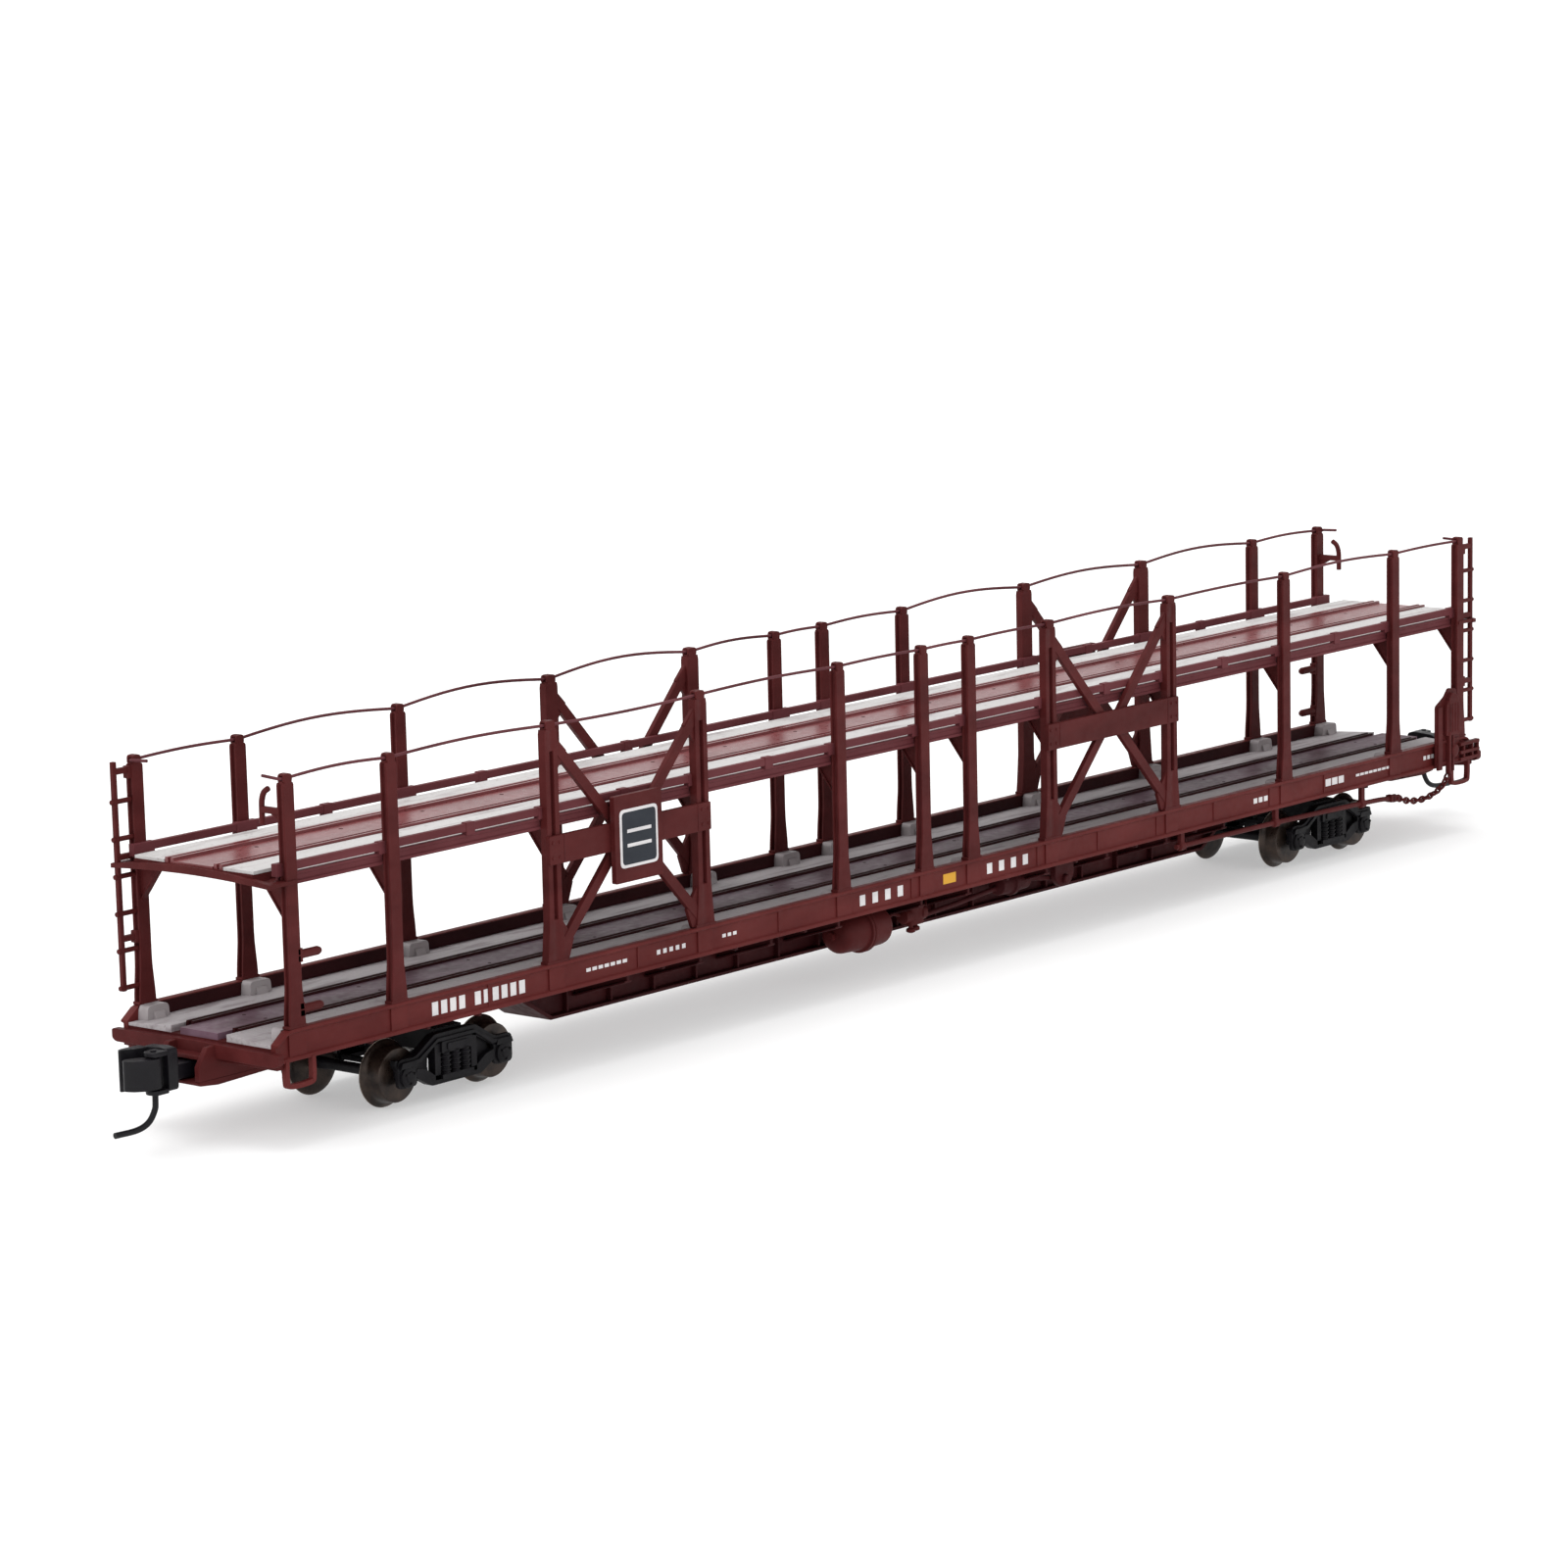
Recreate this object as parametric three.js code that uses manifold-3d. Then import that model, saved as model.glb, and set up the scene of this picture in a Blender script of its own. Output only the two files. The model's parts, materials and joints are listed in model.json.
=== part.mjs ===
// Model flat car with an open two-level automobile rack, 1:160 scale.
// Millimetres. X runs along the car (+X is the hand-brake end), Y across it, Z up.
// z = 0 is the lowest point of the wheel flanges, x = y = 0 the middle of the car.
import * as THREE from "three";
import { mergeVertices } from "three/addons/utils/BufferGeometryUtils.js";
import Module from "manifold-3d";

const wasm = await Module();
wasm.setup();

// ---- driving dimensions --------------------------------------------------
const END_X = 84.6; // outer face of the end sills
const DECK_X = 84.2; // length of both decks from the middle
const POST_X = [3.355, 14.885, 33.3, 51.87, 70.44, 81.84]; // post centres, each side of the middle
const SIDE_Y = 8.0; // inner face of the posts and side sills
const POST_Y = 8.75; // outer face of the posts
const SILL_Y = 8.8; // outer edge of the side sill flanges
const SILL_Z = [7.05, 9.6]; // bottom and top of the side sills
const DECK_Z = 8.45; // lower deck surface
const PAN_Z = 6.95; // underside of the floor pan
const POST_TOP = 29.2; // shoulder of a post
const TAB_TOP = 29.9; // top of the wire tab
const WIRE_Z = 29.5;
const BEAM_Z = [20.7, 21.7]; // upper side beams
const RAIL_Z = [21.95, 22.7]; // rail above each upper side beam
const UPPER_Z = 22.05; // upper deck tread surface
const TRUCK_X = 62.2; // truck centre
const AXLE_DX = 5.6; // axle from the truck centre
const WHEEL_R = 2.8; // over the flange
const TREAD_R = 2.25;
const COUPLER_X = 81.0; // coupler pivot
const KNUCKLE = [90.1, 1.05]; // knuckle pin, in the +X end coupler

// ---- finishes ------------------------------------------------------------
const finish = (color, roughness, metalness) => ({ color, roughness, metalness });
const OXIDE = finish(0x6b3330, 0.62, 0.0);
const OXIDE_DARK = finish(0x552725, 0.66, 0.0);
const BLACK = finish(0x1d1c20, 0.6, 0.0);
const STEEL = finish(0x7a756e, 0.35, 0.9);
const BRASSY = finish(0x7b6a52, 0.34, 0.9);
const WIRE = finish(0x4c2a2a, 0.5, 0.1);

// ---- solids --------------------------------------------------------------
function toSolid(geometry) {
  const g = geometry.clone();
  g.deleteAttribute("normal");
  g.deleteAttribute("uv");
  const merged = mergeVertices(g, 1e-4);
  const vertProperties = new Float32Array(merged.attributes.position.array);
  const triVerts = new Uint32Array(merged.index.array);
  return new wasm.Manifold(new wasm.Mesh({ numProp: 3, vertProperties, triVerts }));
}
function toGeometry(solid) {
  const mesh = solid.getMesh();
  const g = new THREE.BufferGeometry();
  g.setAttribute("position", new THREE.BufferAttribute(new Float32Array(mesh.vertProperties), 3));
  g.setIndex(new THREE.BufferAttribute(new Uint32Array(mesh.triVerts), 1));
  return g;
}
const join = (...parts) => parts.flat().reduce((sum, p) => sum.add(p));
const cut = (base, ...tools) => tools.flat().reduce((rest, t) => rest.subtract(t), base);

const box = (x0, x1, y0, y1, z0, z1) =>
  toSolid(new THREE.BoxGeometry(x1 - x0, y1 - y0, z1 - z0)
    .translate((x0 + x1) / 2, (y0 + y1) / 2, (z0 + z1) / 2));
const outline = (points) => new THREE.Shape(points.map(([u, v]) => new THREE.Vector2(u, v)));
const flatPrism = (points, depth) =>
  new THREE.ExtrudeGeometry(outline(points), { depth, bevelEnabled: false });
// a prism whose outline lies in (x, y), (x, z) or (y, z)
const prismZ = (points, z0, z1) => toSolid(flatPrism(points, z1 - z0).translate(0, 0, z0));
const prismY = (points, y0, y1) =>
  toSolid(flatPrism(points, y1 - y0).rotateX(Math.PI / 2).translate(0, y1, 0));
const toX = new THREE.Matrix4().set(0, 0, 1, 0, 1, 0, 0, 0, 0, 1, 0, 0, 0, 0, 0, 1);
const prismX = (points, x0, x1) =>
  toSolid(flatPrism(points, x1 - x0).applyMatrix4(toX).translate(x0, 0, 0));
// a round bar between two points
function bar(from, to, radius, sides = 8) {
  const a = new THREE.Vector3(...from);
  const b = new THREE.Vector3(...to);
  const g = new THREE.CylinderGeometry(radius, radius, a.distanceTo(b), sides);
  const turn = new THREE.Quaternion().setFromUnitVectors(
    new THREE.Vector3(0, 1, 0), b.clone().sub(a).normalize());
  g.applyQuaternion(turn).translate((a.x + b.x) / 2, (a.y + b.y) / 2, (a.z + b.z) / 2);
  return toSolid(g);
}
// a flat bar in the (x, z) plane, from one point to another
function strut([x0, z0], [x1, z1], width, y0, y1) {
  const length = Math.hypot(x1 - x0, z1 - z0);
  const ox = (-(z1 - z0) / length) * (width / 2);
  const oz = ((x1 - x0) / length) * (width / 2);
  return prismY([[x0 - ox, z0 - oz], [x1 - ox, z1 - oz], [x1 + ox, z1 + oz], [x0 + ox, z0 + oz]],
    y0, y1);
}
function bentBar(points, radius, steps, sides = 6) {
  const path = new THREE.CatmullRomCurve3(points.map((p) => new THREE.Vector3(...p)), false,
    "centripetal");
  const ring = [...Array(sides).keys()].map((i) => {
    const a = (2 * Math.PI * i) / sides;
    return [radius * Math.cos(a), radius * Math.sin(a)];
  });
  return toSolid(new THREE.ExtrudeGeometry(outline(ring), { steps, extrudePath: path }));
}
const both = (f) => [f(1), f(-1)];

// ---- scene graph ---------------------------------------------------------
const group = new THREE.Group();
function addMesh(parent, name, solid, look, turned = false) {
  const mesh = new THREE.Mesh(toGeometry(solid), new THREE.MeshStandardMaterial(look));
  mesh.name = name;
  if (turned) mesh.rotation.z = Math.PI;
  parent.add(mesh);
  return mesh;
}

// ---- underframe, weight and lower deck -----------------------------------
function underframe() {
  const pan = cut(box(-DECK_X, DECK_X, -SIDE_Y, SIDE_Y, PAN_Z, 7.55),
    box(-76, 76, -6.6, 6.6, 7.2, 7.6));
  const sill = prismY([[-52, 7.0], [-46, 3.2], [46, 3.2], [52, 7.0]], -2.3, 2.3);
  const bearerX = [3.355, 14.885, 24, 33.3, 42.5].flatMap((x) => [x, -x]);
  const bearers = bearerX.map((x) => prismX([[-SIDE_Y, 6.4], [-2.3, 4.6], [2.3, 4.6],
    [SIDE_Y, 6.4], [SIDE_Y, 7.0], [-SIDE_Y, 7.0]], x - 0.35, x + 0.35));
  const bracket = prismX([[-6.6, 3.8], [-5.6, 3.4], [-5.0, 7.0], [-6.6, 7.0]], 18.2, 22.2);
  const ends = both((s) => {
    const at = (a, b) => (s > 0 ? [a, b] : [-b, -a]);
    const fascia = box(...at(DECK_X, END_X), -8.9, 8.9, 6.9, 8.0);
    const bolster = box(...at(TRUCK_X - 1.6, TRUCK_X + 1.6), -7.6, 7.6, 6.5, 7.0);
    const plate = bar([s * TRUCK_X, 0, 6.4], [s * TRUCK_X, 0, 7.0], 2.3, 20);
    const boxOuter = box(...at(78.2, 86.6), -2.4, 2.4, 5.3, 7.0);
    const boxInner = box(...at(79.6, 86.8), -1.85, 1.85, 5.1, 6.85);
    const post = bar([s * COUPLER_X, 0, 5.3], [s * COUPLER_X, 0, 6.9], 0.6, 16);
    return join(fascia, bolster, plate, cut(boxOuter, boxInner), post);
  });
  return join(pan, sill, bearers, bracket, ends);
}

function lowerDeck() {
  const plate = box(-DECK_X, DECK_X, -SIDE_Y, SIDE_Y, 7.55, DECK_Z);
  const ribs = both((s) => [2.05, 2.85].map((y) =>
    box(-82.4, 82.4, Math.min(s * y, s * (y + 0.4)), Math.max(s * y, s * (y + 0.4)),
      8.2, 8.72))).flat();
  const pockets = both((s) => POST_X.flatMap((x) => [x, -x]).map((x) =>
    box(x - 1.15, x + 1.15, s > 0 ? 6.7 : -SIDE_Y, s > 0 ? SIDE_Y : -6.7, 7.7, 9.4))).flat();
  return join(plate, ribs, pockets);
}

// the side sill on the -Y side; the other one is the same piece turned round
function sideSill() {
  const section = prismX([[-SIDE_Y, 7.05], [-SILL_Y, 7.05], [-SILL_Y, 7.3], [-8.35, 7.35],
    [-8.35, 9.25], [-SILL_Y, 9.3], [-SILL_Y, 9.6], [-SIDE_Y, 9.6]], -DECK_X, DECK_X);
  const ribs = POST_X.flatMap((x) => [x, -x]).map((x) =>
    box(x - 0.25, x + 0.25, -8.7, -8.3, 7.2, 9.4));
  const tapers = both((s) => prismY([[s * 83.2, 9.7], [s * 84.3, 9.7], [s * 84.3, 8.0]], -9, -7.9));
  const steps = both((s) => {
    const at = (a, b) => (s > 0 ? [a, b] : [-b, -a]);
    return join(box(...at(80.2, 80.65), -8.75, -8.35, 4.9, 7.1),
      box(...at(82.95, 83.4), -8.75, -8.35, 4.9, 7.1),
      box(...at(80.2, 83.4), -8.8, -8.3, 4.9, 5.3));
  });
  return join(cut(join(section, ribs), tapers), steps);
}

addMesh(group, "underframe", underframe(), OXIDE_DARK);
addMesh(group, "ballast_weight", box(-75.8, 75.8, -6.4, 6.4, 7.2, 7.5), STEEL);
addMesh(group, "lower_deck", lowerDeck(), OXIDE);
addMesh(group, "side_sill_right", sideSill(), OXIDE);
addMesh(group, "side_sill_left", sideSill(), OXIDE, true);

// ---- upper deck ----------------------------------------------------------
function upperDeck() {
  const half = [[7.6, 21.0], [7.6, 21.45], [6.6, 21.45], [6.6, UPPER_Z], [3.25, UPPER_Z],
    [3.25, 22.33], [2.9, 22.33], [2.9, 21.95], [2.5, 21.95], [2.5, 22.33], [2.15, 22.33],
    [2.15, 21.85]];
  const section = [...half, ...half.slice().reverse().map(([y, z]) => [-y, z])];
  const plate = prismX(section, -84, 84);
  const bow = [[8.9, 21.3], [6, 21.62], [3, 21.85], [0, 21.9], [-3, 21.85], [-6, 21.62], [-8.9, 21.3]];
  const beams = both((s) => prismX([[-8.9, 20.85], [8.9, 20.85], ...bow],
    s > 0 ? 83.9 : -84.4, s > 0 ? 84.4 : -83.9));
  const corners = both((s) => both((t) => {
    const at = (k, a, b) => (k > 0 ? [a, b] : [-b, -a]);
    return box(...at(s, 82.65, 84.4), ...at(t, 7.3, 8.9), 20.85, 21.3);
  })).flat();
  return join(plate, beams, corners);
}

function upperBeam() {
  const beam = box(-82.5, 82.5, -SIDE_Y, -7.6, ...BEAM_Z);
  const rail = box(-82.5, 82.5, -SIDE_Y, -7.6, ...RAIL_Z);
  const spots = [...POST_X, 9.1, 24, 42.5, 61.1].flatMap((x) => [x, -x]).concat([0]);
  const seats = spots.map((x) => box(x - 0.5, x + 0.5, -SIDE_Y, -7.6, 21.65, 22.05));
  return join(beam, rail, seats);
}

addMesh(group, "upper_deck", upperDeck(), OXIDE);
addMesh(group, "upper_beam_right", upperBeam(), OXIDE);
addMesh(group, "upper_beam_left", upperBeam(), OXIDE, true);

// ---- posts ---------------------------------------------------------------
// one upright of the -Y side, half-width w at the shaft and foot at the sill
function upright(x, w, foot, footTop) {
  const shaft = box(x - w, x + w, -POST_Y, -SIDE_Y, SILL_Z[1], POST_TOP);
  const flare = prismY([[x - foot, SILL_Z[1]], [x + foot, SILL_Z[1]], [x + w, footTop],
    [x - w, footTop]], -POST_Y, -SIDE_Y);
  const tab = box(x - w * 0.7, x + w * 0.7, -8.7, -8.1, POST_TOP - 0.1, TAB_TOP);
  const knee = prismX([[-8.1, 18.3], [-6.2, BEAM_Z[0]], [-8.1, BEAM_Z[0]]], x - 0.3, x + 0.3);
  const eye = box(x - 1, x + 1, -8.6, -8.2, WIRE_Z - 0.2, WIRE_Z + 0.2);
  return cut(join(shaft, flare, tab, knee), eye);
}

function ladder() {
  const rungs = [...Array(6).keys()].map((i) => 26.1 - 2.99 * i);
  const side = box(2.61, 3.06, -8.6, -8.2, 10.9, 29.6);
  const steps = rungs.map((z) => box(0.5, 3.2, -8.55, -8.25, z - 0.15, z + 0.15));
  const brackets = [28.8, 21.65, 15.1].map((z) => box(0.5, 2.7, -8.6, -8.2, z - 0.24, z + 0.24));
  return join(side, steps, brackets);
}

function loadHook() {
  const arm = box(-0.25, 0.25, -8.1, -5.6, 26.35, 26.85);
  const stem = box(-0.25, 0.25, -6.0, -5.55, 25.4, 27.4);
  const tip = prismX([[-6.0, 27.3], [-5.55, 27.3], [-6.2, 28.3], [-6.6, 28.0]], -0.25, 0.25);
  const pegs = [15.25, 10.95].map((z) => bar([0.4, -8.4, z], [2.95, -8.4, z], 0.33, 8));
  return join(arm, stem, tip, pegs);
}

const BAY_RIGHT = [[-51.87, -33.3], [14.885, 33.3]];
const inBay = (x) => BAY_RIGHT.flat().some((b) => Math.abs(b - x) < 0.01);
const rightX = POST_X.flatMap((x) => [x, -x]).sort((a, b) => a - b).filter((x) => !inBay(x));
// posts are numbered from the -X end on the right and from the +X end on the left,
// because the left side is the right side turned half round
for (const [side, turned] of [["right", false], ["left", true]]) {
  rightX.forEach((x, i) => {
    let post = upright(0, 0.62, 0.95, 13.2);
    if (i === 0) post = join(post, loadHook());
    if (i === rightX.length - 1) post = join(post, ladder());
    const mesh = addMesh(group, `post_${side}_${i + 1}`, post, OXIDE, turned);
    mesh.position.x = turned ? -x : x;
  });
}

// ---- braced bays and sign panels -----------------------------------------
function bay([xa, xb]) {
  const mid = (xa + xb) / 2;
  const half = (xb - xa) / 2;
  const plate = box(xa - 0.85, xb + 0.85, -9.0, -8.5, 17.8, 20.15);
  const struts = both((s) => [
    strut([mid + s * (half - 0.2), 28.3], [mid + s * 1.2, 19.6], 0.9, -8.65, -8.1),
    strut([mid + s * 1.2, 18.3], [mid + s * (half - 0.5), 10.4], 0.9, -8.65, -8.1),
  ]).flat();
  return join(upright(xa, 0.75, 1.25, 14), upright(xb, 0.75, 1.25, 14), plate, struts);
}
for (const [side, turned] of [["right", false], ["left", true]]) {
  BAY_RIGHT.forEach((span, i) => {
    addMesh(group, `bay_frame_${side}_${i + 1}`, bay(span), OXIDE, turned);
  });
  const mid = (BAY_RIGHT[0][0] + BAY_RIGHT[0][1]) / 2;
  addMesh(group, `sign_panel_${side}`, box(mid - 3.35, mid + 3.35, -9.5, -9.0, 15.1, 22.4),
    OXIDE, turned);
}

// ---- safety wires --------------------------------------------------------
function safetyWire() {
  const run = bar([-82.7, -8.4, WIRE_Z], [82.7, -8.4, WIRE_Z], 0.12, 8);
  const tails = both((s) => bar([s * 82.6, -8.42, WIRE_Z], [s * 82.6, -6.3, WIRE_Z], 0.12, 8));
  return join(run, tails);
}
addMesh(group, "safety_wire_right", safetyWire(), WIRE);
addMesh(group, "safety_wire_left", safetyWire(), WIRE, true);

// ---- brake gear ----------------------------------------------------------
function brakeStand() {
  const plate = prismY([[77.0, 7.2], [81.15, 7.2], [81.15, 9.6], [80.8, 13], [80.4, 14.9],
    [79.2, 14.9], [78.6, 14.2], [77, 13.4]], -9.1, -8.85);
  const post = box(78.6, 79.4, -9.5, -9.0, 6.4, 14);
  const housing = box(78.2, 80.8, -9.5, -9.0, 10.2, 13);
  const step = box(80.8, 84.2, -9.5, -8.85, 8.7, 9.1);
  return join(plate, post, housing, step);
}
function brakeRod() {
  const line = bentBar([[79, -9.2, 6.35], [77.6, -8.95, 4.9], [75.4, -8.6, 4.3], [72.6, -8.4, 4.5],
    [70.2, -8.4, 5.2], [66, -8.4, 5.4], [50, -8.4, 5.7], [34.4, -8.4, 5.8]], 0.25, 30, 6);
  const hangers = [64.9, 50.3, 35].map((x) => box(x - 0.3, x + 0.3, -8.6, -8.2, 5.4, 7.05));
  return join(line, hangers);
}
function reservoir() {
  const shell = bar([-12.65, -5, 4.75], [-4.9, -5, 4.75], 1.8, 20);
  const flange = bar([-8.85, -5, 4.75], [-8.35, -5, 4.75], 2.05, 20);
  const straps = [-11.5, -6].map((x) => box(x - 0.3, x + 0.3, -5.6, -4.4, 6.2, PAN_Z));
  return join(shell, flange, straps);
}
function controlValve() {
  const body = box(-2.2, 0.2, -5.6, -4.3, 4.0, 5.6);
  const bowl = bar([-1.0, -5, 3.3], [-1.0, -5, 4.2], 0.8, 12);
  const cap = bar([-2.7, -5, 4.8], [0.6, -5, 4.8], 0.6, 12);
  const seat = box(-1.5, -0.5, -5.4, -4.6, 5.4, PAN_Z);
  return join(body, bowl, cap, seat);
}
addMesh(group, "hand_brake_stand", brakeStand(), OXIDE);
addMesh(group, "hand_brake_rod", brakeRod(), OXIDE);
addMesh(group, "air_reservoir", reservoir(), OXIDE_DARK);
addMesh(group, "control_valve", controlValve(), OXIDE_DARK);

// ---- couplers, made for the +X end ---------------------------------------
function couplerLid() {
  return prismY([[78.2, 5.3], [78.8, 4.95], [84.6, 4.8], [86.6, 5.0], [86.6, 5.3]], -2.4, 2.4);
}
function couplerBody() {
  const [kx, ky] = KNUCKLE;
  const eye = bar([COUPLER_X, 0, 5.45], [COUPLER_X, 0, 6.7], 1.15, 16);
  const shank = box(COUPLER_X, 88.6, -0.7, 0.7, 5.45, 6.7);
  const back = box(88.2, 89.2, -1.7, 1.75, 4.9, 8.3);
  const arm = prismZ([[89.1, -1.7], [91.4, -2.1], [92.3, -1.9], [92.1, -1.5], [91.2, -1.3],
    [90.2, -0.8], [89.1, -0.6]], 5.2, 8.0);
  const ears = [[4.9, 5.3], [7.9, 8.3]].map(([a, b]) => box(89.1, 90.8, 0.35, 1.75, a, b));
  const bore = bar([COUPLER_X, 0, 5], [COUPLER_X, 0, 7], 0.66, 16);
  const pinHole = bar([kx, ky, 4.5], [kx, ky, 8.6], 0.34, 12);
  return cut(join(eye, shank, back, arm, ears), bore, pinHole);
}
function knuckle() {
  const [kx, ky] = KNUCKLE;
  const nose = prismZ([[kx - 0.55, ky - 0.5], [kx + 0.2, ky - 0.6], [91.2, -0.2], [92.1, -0.35],
    [92.4, 0.1], [91.8, 1.1], [90.9, 1.7], [kx - 0.2, ky + 0.65], [kx - 0.55, ky + 0.4]],
  5.4, 7.8);
  return cut(nose, bar([kx, ky, 5], [kx, ky, 8.2], 0.27, 12));
}
function tripPin() {
  const [kx, ky] = KNUCKLE;
  const stem = bar([kx, ky, 4.3], [kx, ky, 8.3], 0.24, 8);
  const tail = bentBar([[kx, ky, 4.5], [kx, ky, 3.9], [kx + 0.5, ky - 0.1, 3.0],
    [kx + 1.8, ky - 0.3, 2.45], [kx + 4.0, ky - 0.5, 2.3]], 0.24, 14, 8);
  return join(stem, tail);
}

// ---- trucks, made for the +X end -----------------------------------------
function truckFrame() {
  const x = TRUCK_X;
  const side = [[-7, 2], [-4.8, 2], [-3, 1.2], [3, 1.2], [4.8, 2], [7, 2], [7, 4.1], [4.7, 4.3],
    [2.6, 6.0], [-2.6, 6.0], [-4.7, 4.3], [-7, 4.1]].map(([u, z]) => [x + u, z]);
  const window = (s) => [[2.0, 2.4], [3.9, 2.9], [3.2, 4.4], [2.0, 5.0]].map(([u, z]) =>
    [x + s * u, z]);
  const frames = both((s) => {
    const at = (a, b) => (s > 0 ? [a, b] : [-b, -a]);
    const plate = prismY(side, ...at(5.9, 6.7));
    const openings = both((t) => prismY(window(t), ...at(5.8, 6.8)));
    const springs = box(x - 1.4, x + 1.4, ...at(6.6, 7.0), 1.9, 4.2);
    const boxes = both((t) => box(x + t * AXLE_DX - 0.9, x + t * AXLE_DX + 0.9, ...at(6.6, 7.05),
      2.05, 3.6));
    const journals = both((t) => bar([x + t * AXLE_DX, s * 5.7, WHEEL_R],
      [x + t * AXLE_DX, s * 6.4, WHEEL_R], 0.42, 12));
    return cut(join(cut(plate, openings), springs, boxes), journals);
  });
  const bolster = box(x - 1.5, x + 1.5, -6, 6, 4.0, 6.0);
  const bowl = bar([x, 0, 5.9], [x, 0, 6.35], 2.2, 20);
  return cut(join(frames, bolster, bowl), bar([x, 0, 3.8], [x, 0, 6.6], 1.06, 16));
}
function kingPin() {
  return join(bar([TRUCK_X, 0, 3.6], [TRUCK_X, 0, 6.4], 1.0, 16),
    bar([TRUCK_X, 0, 3.2], [TRUCK_X, 0, 3.75], 1.6, 16));
}
function wheel() {
  const profile = [[0.62, 3.8], [2.8, 3.8], [2.8, 4.1], [2.38, 4.4], [TREAD_R, 5.55],
    [1.9, 5.55], [1.8, 5.25], [1.0, 5.25], [0.9, 5.55], [0.62, 5.55], [0.62, 3.8]];
  return toSolid(new THREE.LatheGeometry(profile.map(([r, y]) => new THREE.Vector2(r, y)), 20));
}
function axle() {
  return join(bar([0, -5.7, 0], [0, 5.7, 0], 0.58, 12), bar([0, -6.3, 0], [0, 6.3, 0], 0.36, 10));
}
for (const [end, turned] of [["b", false], ["a", true]]) {
  const sign = turned ? -1 : 1;
  addMesh(group, `coupler_lid_${end}`, couplerLid(), OXIDE_DARK, turned);
  addMesh(group, `coupler_body_${end}`, couplerBody(), BLACK, turned);
  addMesh(group, `knuckle_${end}`, knuckle(), BLACK, turned);
  addMesh(group, `trip_pin_${end}`, tripPin(), BLACK, turned);
  addMesh(group, `truck_frame_${end}`, truckFrame(), BLACK, turned);
  addMesh(group, `king_pin_${end}`, kingPin(), STEEL, turned);
  [1, -1].forEach((t, i) => {
    const x = sign * (TRUCK_X + t * AXLE_DX);
    const place = (mesh) => mesh.position.set(x, 0, WHEEL_R);
    place(addMesh(group, `axle_${end}${i + 1}`, axle(), BLACK));
    place(addMesh(group, `wheel_${end}${i + 1}_left`, wheel(), BRASSY));
    place(addMesh(group, `wheel_${end}${i + 1}_right`, wheel(), BRASSY, true));
  });
}

export default group;
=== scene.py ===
"""Looks of a model flat car with an open two-level automobile rack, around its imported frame.

All sizes are in millimetres until a mesh is made, and the car stands in the frame's own axes:
+X to the hand-brake end, +Y to the left side, +Z up, wheel flanges on z = 0.
"""

import json
import logging
import math
from dataclasses import dataclass
from enum import Enum

import bpy
import numpy as np
from mathutils import Matrix, Vector

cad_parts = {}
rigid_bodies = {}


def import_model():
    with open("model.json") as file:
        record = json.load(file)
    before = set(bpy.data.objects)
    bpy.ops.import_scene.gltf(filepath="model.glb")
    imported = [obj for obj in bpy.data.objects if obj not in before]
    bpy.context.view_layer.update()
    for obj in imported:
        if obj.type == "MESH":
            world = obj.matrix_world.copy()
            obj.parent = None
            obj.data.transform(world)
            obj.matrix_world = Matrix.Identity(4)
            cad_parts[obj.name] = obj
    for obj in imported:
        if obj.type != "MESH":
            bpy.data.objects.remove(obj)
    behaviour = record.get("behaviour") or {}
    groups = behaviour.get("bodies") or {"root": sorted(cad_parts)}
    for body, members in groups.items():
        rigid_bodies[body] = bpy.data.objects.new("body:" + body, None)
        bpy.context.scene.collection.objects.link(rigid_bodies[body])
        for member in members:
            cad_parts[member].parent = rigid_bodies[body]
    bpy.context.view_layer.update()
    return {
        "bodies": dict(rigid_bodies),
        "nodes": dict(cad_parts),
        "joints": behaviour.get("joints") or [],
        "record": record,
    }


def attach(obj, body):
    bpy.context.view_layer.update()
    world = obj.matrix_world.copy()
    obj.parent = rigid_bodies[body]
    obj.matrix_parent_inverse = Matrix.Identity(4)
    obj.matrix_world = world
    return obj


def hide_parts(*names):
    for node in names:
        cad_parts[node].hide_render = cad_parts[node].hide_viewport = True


LOG = logging.getLogger("flat_car")
MM = 0.001
POST_X = (3.355, 14.885, 33.3, 51.87, 70.44, 81.84)
ALL_X = tuple(sorted([*POST_X, *(-x for x in POST_X)]))
MIDDLES = (-61.1, -42.5, -24, 24, 42.5, 61.1)
BAYS_RIGHT = ((-51.87, -33.3), (14.885, 33.3))
PLAIN_RIGHT = (-81.84, -70.44, -14.885, -3.355, 3.355, 51.87, 70.44, 81.84)
SIDE_Y = 8.0
SILL_TOP = 9.6
WIRE_Z = 29.2
TRUCK_X = 62.2
COUPLER_X = 81.0
BOX_X = 78.2
SHARP = math.radians(38)
MOTTLE, CLOUD, GRAIN = 420.0, 1500.0, 7000.0  # cells per metre of the paint's noises
RIPPLE_DEPTH, GRAIN_DEPTH = 0.00006, 0.00002  # metres


class Axis(Enum):
    """The direction that a profile is carried along, with the two axes its profile is drawn in."""

    X = (0, 1, 2)
    Y = (1, 0, 2)
    Z = (2, 0, 1)


class Side(Enum):
    """A side of the car; the left is the right turned half round, but for its wire's waves."""

    RIGHT = "right"
    LEFT = "left"


class End(Enum):
    """An end of the car; end a is end b (the hand-brake end) turned half round."""

    B = "b"
    A = "a"


# ---- surfaces ----


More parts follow.
